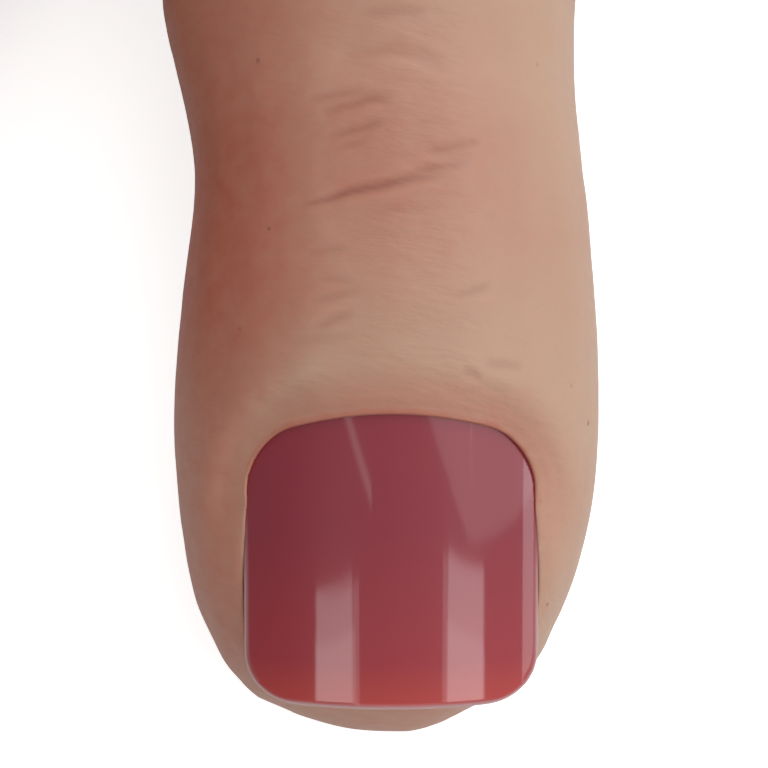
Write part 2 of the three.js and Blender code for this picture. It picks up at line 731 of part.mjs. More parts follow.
add("foot_skin", footSkin(), skin);
add("foot_core", footCore(), bone);
add("ankle_cap", ankleCap(), bone);
capScrewPlaces().forEach((place, screw) => {
  add(`ankle_screw_${screw + 1}`, capScrew().translate(place), steel);
});
toes.forEach(addToe);

// The middle of the foot's box stands over the origin
const extent = new THREE.Box3().setFromObject(foot);
const middle = extent.getCenter(new THREE.Vector3());
foot.position.set(-middle.x, -middle.y, 0);

export default foot;
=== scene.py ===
# %% [markdown]
# Nail practice foot: a life-size right foot of soft silicone over a rigid core, with hinged toe bones
# and a glossy press-on nail in a slot on each toe. The frame gives every solid in its place, in metres,
# with the toes along -Y, the big toe on the +X side and +Z up. This lesson keeps the frame's places and
# gives each piece the form and the finish that the coarse solids only hint at.

import json
import math

import bmesh
import bpy
import numpy as np
from mathutils import Matrix, Vector


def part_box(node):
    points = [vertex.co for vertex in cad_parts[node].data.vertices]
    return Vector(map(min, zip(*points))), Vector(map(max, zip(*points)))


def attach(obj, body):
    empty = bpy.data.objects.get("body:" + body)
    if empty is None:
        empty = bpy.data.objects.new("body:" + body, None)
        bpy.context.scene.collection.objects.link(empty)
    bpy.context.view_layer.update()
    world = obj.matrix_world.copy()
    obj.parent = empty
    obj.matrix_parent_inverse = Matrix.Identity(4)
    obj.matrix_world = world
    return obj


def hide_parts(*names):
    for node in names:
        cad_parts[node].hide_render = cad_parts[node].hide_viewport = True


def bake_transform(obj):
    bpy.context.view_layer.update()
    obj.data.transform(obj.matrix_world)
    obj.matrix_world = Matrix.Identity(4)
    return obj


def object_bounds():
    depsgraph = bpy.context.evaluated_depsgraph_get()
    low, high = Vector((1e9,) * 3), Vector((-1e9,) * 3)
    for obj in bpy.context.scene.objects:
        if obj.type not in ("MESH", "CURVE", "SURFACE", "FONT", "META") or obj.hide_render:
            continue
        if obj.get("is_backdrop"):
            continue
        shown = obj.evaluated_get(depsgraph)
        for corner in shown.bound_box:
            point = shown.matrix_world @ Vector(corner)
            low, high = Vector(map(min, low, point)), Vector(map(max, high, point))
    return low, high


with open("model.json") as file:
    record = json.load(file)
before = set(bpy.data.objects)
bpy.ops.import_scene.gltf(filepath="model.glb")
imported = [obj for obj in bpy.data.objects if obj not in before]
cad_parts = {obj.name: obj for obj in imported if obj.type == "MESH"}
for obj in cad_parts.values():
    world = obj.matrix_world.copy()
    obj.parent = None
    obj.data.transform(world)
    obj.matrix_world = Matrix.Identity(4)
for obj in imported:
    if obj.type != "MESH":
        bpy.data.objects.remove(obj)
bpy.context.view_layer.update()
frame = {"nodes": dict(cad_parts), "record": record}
MM = 0.001

# %% [markdown]
# A hand model of a foot starts with where each toe points. The record already says it: a toe's base pin
# and knuckle pin lie on its middle line, and the pin's axis lies across it. So each toe gets a small
# frame of its own: u runs forwards from the base pin, v sideways towards the big toe's side, z up.

# %% Toe frames from the joints
TOES = ["big_toe", "second_toe", "third_toe", "fourth_toe", "little_toe"]
FREE_EDGE_BAND = 0.3
SIDE_EDGE_BAND = 0.05
joints = {joint["name"]: joint for joint in frame["record"]["behaviour"]["joints"]}


class Toe:
    """Where a toe lies: its pins, its direction and its tip, in millimetres."""

    def __init__(self, name):
        base = joints[f"{name}_base_bend"]
        knuckle = joints[f"{name}_tip_bend"]
        self.name = name
        self.pin = np.array(base["pos_m"]) / MM
        self.side = -np.array(base["axis"])
        self.ahead = np.array([self.side[1], -self.side[0], 0.0])
        self.knuckle = float((np.array(knuckle["pos_m"]) / MM - self.pin) @ self.ahead)
        pull = np.array(joints[f"{name}_nail_pull"]["axis"])
        self.slope = math.asin(-pull[2])
        self.tip = float(self.to_toe(node_points(f"{name}_tip_skin"))[:, 0].max())
        local = self.to_toe(node_points(f"{name}_nail"))
        self.edge_u = float(local[:, 0].max())
        self.edge_z = float(local[local[:, 0] > self.edge_u - FREE_EDGE_BAND][:, 2].max())
        self.nail_half = float(np.abs(local[:, 1]).max())
        back = self.to_nail(local)
        self.nail_full = float(back[:, 1].max())
        self.sag = float(-back[np.abs(back[:, 0]) > self.nail_half - SIDE_EDGE_BAND][:, 2].max())

    def to_toe(self, points):
        """Row-frame millimetres to the toe's u, v and z."""
        away = points - self.pin
        return np.stack([away @ self.ahead, away @ self.side, points[:, 2]], 1)

    def from_toe(self, local):
        """The toe's u, v and z back to row-frame millimetres."""
        flat = self.pin * [1, 1, 0]
        return flat + local[:, :1] * self.ahead + local[:, 1:2] * self.side + local[:, 2:] * [0, 0, 1]

    def to_nail(self, local):
        """v, a back along the nail from its free edge, and h off the nail's crown line."""
        ahead = local[:, 0] - self.edge_u
        over = local[:, 2] - self.edge_z
        back = -ahead * math.cos(self.slope) + over * math.sin(self.slope)
        off = ahead * math.sin(self.slope) + over * math.cos(self.slope)
        return np.stack([local[:, 1], back, off], 1)

    def nail_up(self):
        """The direction square off the nail's crown line."""
        start, end = self.from_toe(self.from_nail(np.array([[0, 0, 0], [0, 0, 1.0]])))
        return end - start

    def from_nail(self, nail):
        """The nail's v, a and h back to the toe's u, v and z."""
        ahead = -nail[:, 1] * math.cos(self.slope) + nail[:, 2] * math.sin(self.slope)
        over = nail[:, 1] * math.sin(self.slope) + nail[:, 2] * math.cos(self.slope)
        return np.stack([self.edge_u + ahead, nail[:, 0], self.edge_z + over], 1)


def node_points(node):
    """A CAD node's corners in millimetres."""
    mesh = frame["nodes"][node].data
    points = np.empty(len(mesh.vertices) * 3)
    mesh.vertices.foreach_get("co", points)
    return points.reshape(-1, 3) / MM


toes = {name: Toe(name) for name in TOES}
for toe in toes.values():
    print(toe.name, "knuckle %.1f tip %.1f" % (toe.knuckle, toe.tip),
          "nail half %.2f full %.2f sag %.2f" % (toe.nail_half, toe.nail_full, toe.sag),
          "edge u %.2f z %.2f slope %.1f" % (toe.edge_u, toe.edge_z, math.degrees(toe.slope)))

# %% [markdown]
# The real skin is one soft casting, poured round the core. The solids give it in twenty-one lengths
# with hairline partings. A modeller would fuse them: copy the skin solids, merge their loose triangles,
# swell each copy by the width of a parting, join them and run a voxel remesh, which keeps only the
# outside as even quads. The bones' tunnels and the core's room close by themselves. A plug goes into
# each nail's slot, because the nail's bed is carved later, when the mesh is fine enough for it.

# %% Fuse the skin lengths
SWELL = 0.45
FOOT_SWELL = 0.02
MERGE_WITHIN = 0.01
PLUG_LENGTH = 3.2
VOXEL = 1.0
SKIN_LENGTHS = ["root_skin", "base_skin", "knuckle_skin", "tip_skin"]
SCREWS = ["ankle_screw_1", "ankle_screw_2", "ankle_screw_3"]


def pick_only(obj):
    """Leave one object selected and active."""
    bpy.ops.object.select_all(action="DESELECT")
    obj.select_set(True)
    bpy.context.view_layer.objects.active = obj


def copy_of(node, name, growth=SWELL):
    """A copy of a CAD node with its loose triangles merged and its skin swollen over the partings."""
    piece = bpy.data.objects.new(name, frame["nodes"][node].data.copy())
    bpy.context.collection.objects.link(piece)
    piece.data.materials.clear()
    pick_only(piece)
    bpy.ops.object.mode_set(mode="EDIT")
    bpy.ops.mesh.select_all(action="SELECT")
    bpy.ops.mesh.remove_doubles(threshold=MERGE_WITHIN * MM)
    bpy.ops.object.mode_set(mode="OBJECT")
    press = piece.modifiers.new("press", "DISPLACE")
    press.mid_level = 0
    press.strength = growth * MM
    bpy.ops.object.modifier_apply(modifier=press.name)
    return piece


def slot_plug(toe):
    """The rear end of a toe's nail, cut off in front of the fold, to fill its slot."""
    plug = copy_of(f"{toe.name}_nail", f"{toe.name}_plug")
    cut = toe.from_nail(np.array([[0.0, toe.nail_full - PLUG_LENGTH, 0.0]]))
    normal = toe.ahead * math.cos(toe.slope) + np.array([0, 0, -math.sin(toe.slope)])
    bpy.ops.object.mode_set(mode="EDIT")
    bpy.ops.mesh.select_all(action="SELECT")
    bpy.ops.mesh.bisect(plane_co=toe.from_toe(cut)[0] * MM, plane_no=normal, use_fill=True, clear_outer=True)
    bpy.ops.object.mode_set(mode="OBJECT")
    return plug


foot_nodes = ["foot_skin", "foot_core", "ankle_cap"] + SCREWS
casts = [copy_of(node, f"cast_{node}", FOOT_SWELL) for node in foot_nodes]
for toe in toes.values():
    casts += [copy_of(f"{toe.name}_{length}", f"cast_{toe.name}_{length}") for length in SKIN_LENGTHS]
    casts.append(slot_plug(toe))
bpy.ops.object.select_all(action="DESELECT")
for cast in casts:
    cast.select_set(True)
skin = casts[0]
bpy.context.view_layer.objects.active = skin
bpy.ops.object.join()
skin.name = "skin_cast"
skin.data.remesh_voxel_size = VOXEL * MM
skin.data.use_remesh_preserve_volume = True
bpy.ops.object.voxel_remesh()
print("cast faces", len(skin.data.polygons), "box", [round(side / MM, 1) for side in skin.dimensions])

# %% Keep the outside of the cast
bpy.ops.object.mode_set(mode="EDIT")
bpy.ops.mesh.select_all(action="SELECT")
bpy.ops.mesh.separate(type="LOOSE")
bpy.ops.object.mode_set(mode="OBJECT")
parts = sorted(bpy.context.selected_objects, key=lambda part: len(part.data.vertices))
skin = parts.pop()
for part in parts:
    bpy.data.objects.remove(part)
skin.name = "skin_cast"
pick_only(skin)
print("outside faces", len(skin.data.polygons), "parts dropped", len(parts))

# %% [markdown]
# The cast still shows the facets of the solids, up to nine millimetres wide on the foot and three on
# the toes. A smooth modifier spreads them out, and a vertex group says how far: the foot takes many
# passes, and the toes, whose ends would shrink, take few.

# %% Smooth the facets away
FOOT_PASSES = 90
TOE_PASSES = 10
SMOOTH_FACTOR = 0.5
FOOT_ENDS = (-16, -2)
LANES_START = -45
LANE_SPARE = 3.4
OFF_TOES = 99
ON_TOES = 50


def mesh_points(obj):
    """All of a mesh's points, in millimetres."""
    points = np.empty(len(obj.data.vertices) * 3)
    obj.data.vertices.foreach_get("co", points)
    return points.reshape(-1, 3) / MM


def mesh_normals(obj):
    """The normals at all of a mesh's points."""
    normals = np.empty(len(obj.data.vertices) * 3)
    obj.data.vertices.foreach_get("normal", normals)
    return normals.reshape(-1, 3)


def set_points(obj, points):
    """Put a mesh's points back, from millimetres."""
    obj.data.vertices.foreach_set("co", (points * MM).ravel())
    obj.data.update()


def ease(value, start, end):
    """0 before start, 1 after end and a smooth step between them."""
    share = np.clip((value - start) / (end - start), 0, 1)
    return share * share * (3 - 2 * share)


def lanes(points):
    """For each point: its toe, its place in that toe's frame, and how far aside it lies."""
    places = np.stack([toe.to_toe(points) for toe in toes.values()])
    halves = np.array([toe.nail_half + LANE_SPARE for toe in toes.values()])
    lean = np.abs(places[:, :, 1]) / halves[:, None]
    lean[places[:, :, 0] < LANES_START] = OFF_TOES
    nearest = lean.argmin(0)
    return nearest, places[nearest, np.arange(len(points))], lean.min(0)


def limit_to(obj, modifier, weights):
    """Limit a modifier to a vertex group with these weights, in tenths."""
    group = obj.vertex_groups.new(name="where")
    for step in range(1, 11):
        chosen = np.flatnonzero(np.round(weights * 10) == step)
        group.add(chosen.tolist(), step / 10, "REPLACE")
    modifier.vertex_group = group.name


def smooth(obj, passes, weights=None):
    """Smooth a mesh, more where the weights are higher."""
    pick_only(obj)
    soften = obj.modifiers.new("soften", "SMOOTH")
    soften.factor = SMOOTH_FACTOR
    soften.iterations = passes
    if weights is not None:
        limit_to(obj, soften, weights)
    bpy.ops.object.modifier_apply(modifier=soften.name)
    obj.vertex_groups.clear()


smooth(skin, TOE_PASSES)
nearest, local, lean = lanes(mesh_points(skin))
smooth(skin, FOOT_PASSES, np.where(lean < ON_TOES, 1 - ease(local[:, 0], *FOOT_ENDS), 1))
bpy.ops.object.shade_smooth()
print("smoothed box", [round(side / MM, 1) for side in skin.dimensions])

# %% [markdown]
# Between the toes the cast has sharp slits and square steps, where real skin runs over in a web. Swelling
# the whole cast, remeshing it and drawing it in again by as much fills each slit with a round fillet,
# the way a dipped mould does. The webs, the front edge of the ball and the ankle then take more
# smoothing passes of their own.

# %% Fill the webs
FILLET = 0.9
WEB_PASSES = 110
BALL_PASSES = 160
ANKLE_PASSES = 150
LAST_PASSES = 3
FREE_TOE_STARTS = (1, 5)
WEB_STARTS, WEB_ENDS = (-22, -10), (2, 9)
BALL_STARTS, BALL_ENDS, BALL_RISES = (-20, -8), (0, 7), (8, 16)
ANKLE_STARTS, ANKLE_ENDS, HEEL_STARTS = (30, 45), (96, 106), (10, 30)


def swell(obj, distance):
    """Move the surface behind the toes' free lengths outwards, or inwards for a negative distance."""
    nearest, local, lean = lanes(mesh_points(obj))
    pick_only(obj)
    press = obj.modifiers.new("press", "DISPLACE")
    press.mid_level = 0
    press.strength = distance * MM
    limit_to(obj, press, np.where(lean < ON_TOES, 1 - ease(local[:, 0], *FREE_TOE_STARTS), 1))
    bpy.ops.object.modifier_apply(modifier=press.name)
    obj.vertex_groups.clear()


swell(skin, FILLET)
skin.data.remesh_voxel_size = VOXEL * MM
bpy.ops.object.voxel_remesh()
swell(skin, -FILLET)
points = mesh_points(skin)
nearest, local, lean = lanes(points)
near_web = ease(local[:, 0], *WEB_STARTS) * (1 - ease(local[:, 0], *WEB_ENDS))
smooth(skin, WEB_PASSES, np.where(lean < ON_TOES, near_web, 0))
under_ball = ease(local[:, 0], *BALL_STARTS) * (1 - ease(local[:, 0], *BALL_ENDS))
under_ball *= 1 - ease(points[:, 2], *BALL_RISES)
smooth(skin, BALL_PASSES, np.where(lean < ON_TOES, under_ball, 0))
on_ankle = ease(points[:, 2], *ANKLE_STARTS) * (1 - ease(points[:, 2], *ANKLE_ENDS))
smooth(skin, ANKLE_PASSES, on_ankle * ease(points[:, 1], *HEEL_STARTS))
smooth(skin, LAST_PASSES)
bpy.ops.object.shade_smooth()
print("webbed cast", len(skin.data.polygons), [round(side / MM, 1) for side in skin.dimensions])

# %% [markdown]
# On the instep the cords that lift the toes show under the skin as low ridges, fanned out from the
# front of the ankle to each toe. They are raised along the surface's normals.

# %% Raise the instep's tendons
TENDON_FAN = np.array([4, 24.0])
TENDON_HEIGHTS = (1.0, 0.7, 0.6, 0.5, 0.4)
TENDON_WIDTH = 3.4
TENDON_PAST_PIN = 4
TENDON_RISES, TENDON_SINKS = (0.3, 0.62), (0.9, 1.08)
FACES_UP = (0.35, 0.8)


def raise_tendons(points, normals):
    """Lift a low ridge from the front of the ankle to each toe's root."""
    for toe, height in zip(toes.values(), TENDON_HEIGHTS):
        end = toe.pin[:2] + toe.ahead[:2] * TENDON_PAST_PIN
        run = end - TENDON_FAN
        along = ((points[:, :2] - TENDON_FAN) @ run) / (run @ run)
        gap = np.linalg.norm(points[:, :2] - TENDON_FAN - along[:, None] * run, axis=1)
        ridge = np.exp(-((gap / TENDON_WIDTH) ** 2)) * ease(along, *TENDON_RISES)
        ridge = ridge * (1 - ease(along, *TENDON_SINKS))
        points = points + normals * (height * ridge * ease(normals[:, 2], *FACES_UP))[:, None]
    return points


set_points(skin, raise_tendons(mesh_points(skin), mesh_normals(skin)))
print("tendons", len(toes))

# %% [markdown]
# The ankle ends in a flat cut with a rounded rim and a sunk seat for a cap. The top is cut off flat, and
# a round face takes the cut's outline, evenly spaced and evened out. Then it is plain face work: inset
# the face again and again, up and over the rim, across the flat and down into the seat, and bridge its
# edge to the ankle.

# %% Cut the ankle and sink the seat
RIM_START = 114.2
RIM_GAP = 0.5
RIM_MERGE = 0.35
RIM_CORNERS = 180
RIM_WAVES = 7
RIM_STEPS = [(0.09, 0.5), (0.26, 0.39), (0.39, 0.26), (0.46, 0.11), (3.0, 0), (0.28, -0.12), (0.12, -0.28)]
SEAT_DEPTH = 3.5


def step_in(thickness, rise):
    """Inset the chosen face and move it up or down, in millimetres."""
    bpy.ops.mesh.inset(thickness=thickness * MM, depth=rise * MM)


def even_outline(outline, count, waves):
    """An outline round its own middle, evenly spaced and with only its broad waves kept."""
    middle = (outline.max(0) + outline.min(0)) / 2
    angle = np.arctan2(*(outline - middle).T[::-1])
    radius = np.linalg.norm(outline - middle, axis=1)
    order = np.argsort(angle)
    turns = np.linspace(-math.pi, math.pi, count, endpoint=False)
    spaced = np.interp(turns, angle[order], radius[order], period=2 * math.pi)
    wave = np.fft.rfft(spaced)
    wave[waves + 1:] = 0
    return middle + np.fft.irfft(wave, count)[:, None] * np.stack([np.cos(turns), np.sin(turns)], 1)


pick_only(skin)
bpy.ops.object.mode_set(mode="EDIT")
bpy.ops.mesh.select_mode(type="VERT")
bpy.ops.mesh.select_all(action="SELECT")
bpy.ops.mesh.bisect(plane_co=(0, 0, RIM_START * MM), plane_no=(0, 0, 1), clear_outer=True)
bpy.ops.mesh.remove_doubles(threshold=RIM_MERGE * MM)
bpy.ops.object.mode_set(mode="OBJECT")
points = mesh_points(skin)
cut = points[points[:, 2] > RIM_START - MERGE_WITHIN]
bpy.ops.mesh.primitive_circle_add(vertices=RIM_CORNERS, fill_type="NGON")
rim = bpy.context.object
ring = even_outline(cut[:, :2], RIM_CORNERS, RIM_WAVES)
set_points(rim, np.column_stack([ring, np.full(RIM_CORNERS, RIM_START + RIM_GAP)]))
bpy.ops.object.mode_set(mode="EDIT")
bpy.ops.mesh.select_mode(type="FACE")
bpy.ops.mesh.select_all(action="SELECT")
for thickness, rise in RIM_STEPS:
    step_in(thickness, rise)
bpy.ops.mesh.extrude_region_move(TRANSFORM_OT_translate={"value": (0, 0, -SEAT_DEPTH * MM)})
bpy.ops.mesh.duplicate()
bpy.ops.mesh.separate(type="SELECTED")
bpy.ops.object.mode_set(mode="OBJECT")
lid = next(piece for piece in bpy.context.selected_objects if piece != rim)
lid.name = "ankle_lid"
bpy.ops.object.select_all(action="DESELECT")
rim.select_set(True)
skin.select_set(True)
bpy.context.view_layer.objects.active = skin
bpy.ops.object.join()
bpy.ops.object.mode_set(mode="EDIT")
bpy.ops.mesh.select_mode(type="EDGE")
bpy.ops.mesh.select_all(action="DESELECT")
bpy.ops.mesh.select_non_manifold()
bpy.ops.mesh.bridge_edge_loops()
bpy.ops.object.mode_set(mode="OBJECT")
print("rim corners", RIM_CORNERS, "cast faces", len(skin.data.polygons))

# %% [markdown]
# The cap is a moulded plate. The seat's floor gives its outline: inset for a hairline gap, extruded up,
# its top edge broken, and holes cut for the screw heads with a boolean. Each drill is wider at the top,
# so that it leaves a broken edge too.

# %% Model the ankle's cap
LID_GAP = 0.3
LID_THICK = 3.6
LID_EDGE_STEPS = [(0.12, 0.28), (0.28, 0.12)]
LID_EDGE = 0.4
LID_SHARP = 30
HEAD_RADIUS = 3.2
HEAD_ROOM = 0.25
HEAD_HEIGHT = 2.2
HEAD_CORNERS = 64
DRILL_SPARE = 0.1
DRILL_FLARE = 0.6

pick_only(lid)
bpy.ops.object.mode_set(mode="EDIT")
bpy.ops.mesh.select_mode(type="FACE")
bpy.ops.mesh.select_all(action="SELECT")
step_in(LID_GAP, 0)
bpy.ops.mesh.select_all(action="INVERT")
bpy.ops.mesh.delete(type="FACE")
bpy.ops.mesh.select_all(action="SELECT")
bpy.ops.mesh.extrude_region_move(TRANSFORM_OT_translate={"value": (0, 0, (LID_THICK - LID_EDGE) * MM)})
for thickness, rise in LID_EDGE_STEPS:
    step_in(thickness, rise)
bpy.ops.mesh.select_mode(type="VERT")
bpy.ops.mesh.select_all(action="SELECT")
bpy.ops.mesh.fill_holes(sides=0)
bpy.ops.mesh.normals_make_consistent(inside=False)
bpy.ops.object.mode_set(mode="OBJECT")
lid_top = max(corner.co.z for corner in lid.data.vertices) / MM
screw_tops = []
for node in SCREWS:
    low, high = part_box(node)
    screw_tops.append(np.array([(low[0] + high[0]) / 2, (low[1] + high[1]) / 2, high[2]]) / MM)
for place in screw_tops:
    well_radius = (HEAD_RADIUS + HEAD_ROOM) * MM
    bpy.ops.mesh.primitive_cylinder_add(vertices=HEAD_CORNERS, radius=well_radius, depth=MM)
    drill = bpy.context.object
    corners = mesh_points(drill)
    foot = corners[:, 2] < 0
    corners[foot, 2] = place[2] - HEAD_HEIGHT - DRILL_SPARE
    corners[~foot, 2] = lid_top - DRILL_FLARE / 2
    corners[:, :2] += place[:2]
    set_points(drill, corners)
    bpy.ops.object.mode_set(mode="EDIT")
    bpy.ops.mesh.select_mode(type="FACE")
    bpy.ops.mesh.select_all(action="DESELECT")
    bpy.ops.object.mode_set(mode="OBJECT")
    for face in drill.data.polygons:
        face.select = face.normal.z > 0.5
    bpy.ops.object.mode_set(mode="EDIT")
    step_in(-DRILL_FLARE, DRILL_FLARE)
    bpy.ops.object.mode_set(mode="OBJECT")
    pick_only(lid)
    hole = lid.modifiers.new("hole", "BOOLEAN")
    hole.solver = "MANIFOLD"
    hole.operation = "DIFFERENCE"
    hole.object = drill
    bpy.ops.object.modifier_apply(modifier=hole.name)
    bpy.data.objects.remove(drill)
pick_only(lid)
bpy.ops.object.shade_smooth_by_angle(angle=math.radians(LID_SHARP))
print("lid top", round(lid_top, 2), "faces", len(lid.data.polygons))

# %% [markdown]
# The cap's screws are slotted pan heads. One is modelled, a cylinder with its rim rounded and a slot cut
# across it, and copied to the three places, each turned as a hand would leave it.

# %% Model the screw heads
HEAD_ROUNDING = 0.6
HEAD_SHARP = 35
SLOT_LENGTH = 9
SLOT_WIDTH = 0.9
SLOT_DEPTH = 1.1
SCREW_TURNS = (20, 75, 140)

bpy.ops.mesh.primitive_cylinder_add(vertices=HEAD_CORNERS, radius=HEAD_RADIUS * MM, depth=HEAD_HEIGHT * MM)
head = bpy.context.object
rounding = head.modifiers.new("rounding", "BEVEL")
rounding.width = HEAD_ROUNDING * MM
rounding.segments = 5
rounding.limit_method = "ANGLE"
bpy.ops.object.modifier_apply(modifier=rounding.name)
bpy.ops.mesh.primitive_cube_add(size=1, scale=(SLOT_LENGTH * MM, SLOT_WIDTH * MM, 2 * SLOT_DEPTH * MM),
                                location=(0, 0, HEAD_HEIGHT / 2 * MM))
cutter = bpy.context.object
pick_only(head)
slot = head.modifiers.new("slot", "BOOLEAN")
slot.solver = "MANIFOLD"
slot.operation = "DIFFERENCE"
slot.object = cutter
bpy.ops.object.modifier_apply(modifier=slot.name)
bpy.data.objects.remove(cutter)
bpy.ops.object.shade_smooth_by_angle(angle=math.radians(HEAD_SHARP))
heads = []
for place, turn in zip(screw_tops, SCREW_TURNS):
    copy = head.copy()
    copy.data = head.data.copy()
    bpy.context.collection.objects.link(copy)
    copy.location = (Vector(place) - Vector((0, 0, HEAD_HEIGHT / 2))) * MM
    copy.rotation_euler.z = math.radians(turn)
    pick_only(copy)
    bpy.ops.object.transform_apply(location=True, rotation=True, scale=True)
    copy.name = f"screw_head_{len(heads) + 1}"
    heads.append(copy)
bpy.data.objects.remove(head)
print("screw heads", len(heads), "corners each", len(heads[0].data.vertices))

# %% [markdown]
# Fine forms need a fine mesh only where they are, so the toes' faces are picked by place and subdivided
# with a little roundness: once for all the toes, and once more for the big toe, which the camera sees.

# %% Subdivide the toes
FINE_FROM = -6
FINER_FROM = -3
TOES_BEGIN = (-18, -8)


def subdivide(obj, chosen, roundness=1.0):
    """Subdivide the faces whose middles are chosen by a function of their points."""
    middles = np.empty(len(obj.data.polygons) * 3)
    obj.data.polygons.foreach_get("center", middles)
    picked = chosen(middles.reshape(-1, 3) / MM)
    pick_only(obj)
    bpy.ops.object.mode_set(mode="EDIT")
    bpy.ops.mesh.select_mode(type="FACE")
    bpy.ops.mesh.select_all(action="DESELECT")
    bpy.ops.object.mode_set(mode="OBJECT")
    obj.data.polygons.foreach_set("select", picked)
    bpy.ops.object.mode_set(mode="EDIT")
    bpy.ops.mesh.subdivide(number_cuts=1, smoothness=roundness, quadcorner="INNERVERT")
    bpy.ops.object.mode_set(mode="OBJECT")


def on_toes(middles):
    """Which places are on a toe, or just behind its root."""
    nearest, local, lean = lanes(middles)
    return (lean < ON_TOES) & (local[:, 0] > FINE_FROM)


def on_big_toe(middles):
    """Which places are on the big toe."""
    nearest, local, lean = lanes(middles)
    return (nearest == 0) & (lean < ON_TOES) & (local[:, 0] > FINER_FROM)


def smooth_toes(passes):
    """Smooth the toes alone, and leave the ankle's crisp rim as it is."""
    nearest, local, lean = lanes(mesh_points(skin))
    smooth(skin, passes, np.where(lean < ON_TOES, ease(local[:, 0], *TOES_BEGIN), 0))


subdivide(skin, on_toes)
subdivide(skin, on_big_toe)
smooth_toes(2)
print("fine cast", len(skin.data.polygons))

# %% [markdown]
# The big toe's outline is the first thing that the eye checks. A maker marks its half width on each side
# where the outline turns: at the ball, the root, the waist, the widest place beside the nail's fold and
# round the tip. A smooth curve is drawn through the marks, and each point is moved sideways by the ratio
# of the curve's width to the width that the cast has there.

# %% Set the big toe's outline
BALL_SIDE = [(-16, 18.4), (-8, 16.6), (0, 13.4), (6, 11.5), (13, 11.1), (22, 12), (32, 12.6), (38, 12.3),
             (44, 10.6), (49, 7.5), (50.6, 5.1)]
WEB_SIDE = [(4, 14.2), (7, 14), (19, 11.8), (26, 12.6), (32, 13.1), (38, 12.9), (45, 11.5), (48, 9.9),
            (49.5, 8.8), (50.6, 7.2)]
SECOND_TOE_SIDE = [(2, 7.0), (4, 6.1), (7, 5.5), (11, 5.5), (14, 6), (18, 6.6), (22, 6.9)]
STATION_STEP = 1.2
STATION_HALF = 0.7
OUTLINE_FROM = -22
OUTLINE_LEAN = 1.8
WEB_TAKES_HOLD, BALL_TAKES_HOLD, SECOND_TOE_TAKES_HOLD = (3, 9), (-20, -12), (0, 5)
TIP_DRAWN_IN = 0.45
TIP_STRETCH = (48.5, 51.2)


def curve_through(marks, places):
    """A smooth curve through marks, read off at these places."""
    at, height = np.array(marks, float).T
    slope = np.gradient(height, at)
    step = np.clip(np.searchsorted(at, places) - 1, 0, len(at) - 2)
    run = at[step + 1] - at[step]
    share = (places - at[step]) / run
    rise = (height[step + 1] - height[step]) * share * share * (3 - 2 * share)
    bend = share * (1 - share) * ((1 - share) * slope[step] - share * slope[step + 1])
    return height[step] + rise + bend * run


def set_outline(points, toe, side, marks, first, last):
    """Move a toe's points sideways until its outline on one side runs through the marks."""
    nearest, local, lean = lanes(points)
    mine = (nearest == TOES.index(toe.name)) & (lean < OUTLINE_LEAN) & (local[:, 0] > OUTLINE_FROM)
    place = local[mine]
    stations = np.append(np.arange(marks[0][0], marks[-1][0], STATION_STEP), marks[-1][0])
    reach = np.array([(side * place[np.abs(place[:, 0] - u) < STATION_HALF, 1]).max() for u in stations])
    ratio = np.interp(place[:, 0], stations, curve_through(marks, stations) / reach)
    held = 1 + (ratio - 1) * ease(place[:, 0], first, last)
    across = place[:, 1] * side > 0
    place[across, 1] *= held[across]
    points[mine] = toe.from_toe(place)
    return points


points = set_outline(mesh_points(skin), toes["big_toe"], -1, WEB_SIDE, *WEB_TAKES_HOLD)
points = set_outline(points, toes["big_toe"], 1, BALL_SIDE, *BALL_TAKES_HOLD)
points = set_outline(points, toes["second_toe"], 1, SECOND_TOE_SIDE, *SECOND_TOE_TAKES_HOLD)
nearest, local, lean = lanes(points)
tip = (nearest == 0) & (lean < ON_TOES) & (local[:, 0] > TIP_STRETCH[0])
local[tip, 0] -= TIP_DRAWN_IN * ease(local[tip, 0], *TIP_STRETCH)
points[tip] = toes["big_toe"].from_toe(local[tip])
points[:, 2] = np.maximum(points[:, 2], 0)
set_points(skin, points)
smooth_toes(2)
print("outline marks", len(BALL_SIDE), "and", len(WEB_SIDE))

# %% [markdown]
# A nail lies in a bed with a fold of skin round it. In the nail's own frame (v sideways, a back from
# the free edge, h off the plate) the fold is a matter of heights: inside the plate's outline the skin
# lies just under the plate, at the outline it stands a little over it, more at the back than at the
# sides, and it drops away under the free edge, where the plate's own thickness shows. A ring outside the
# fold is then smoothed, so that the carving runs out into the toe without an edge.

# %% Set out the nails
UNDER_FOLD, SMALL_UNDER_FOLD = 2.4, 1.5
NAIL_THICK, SMALL_NAIL_THICK = 1.0, 0.8
ENDS_BOW_SHARE = 0.24
REAR_CORNER_SHARE, FREE_CORNER_SHARE = 0.36, 0.34
BEND_LIMIT_SHARE = 0.95


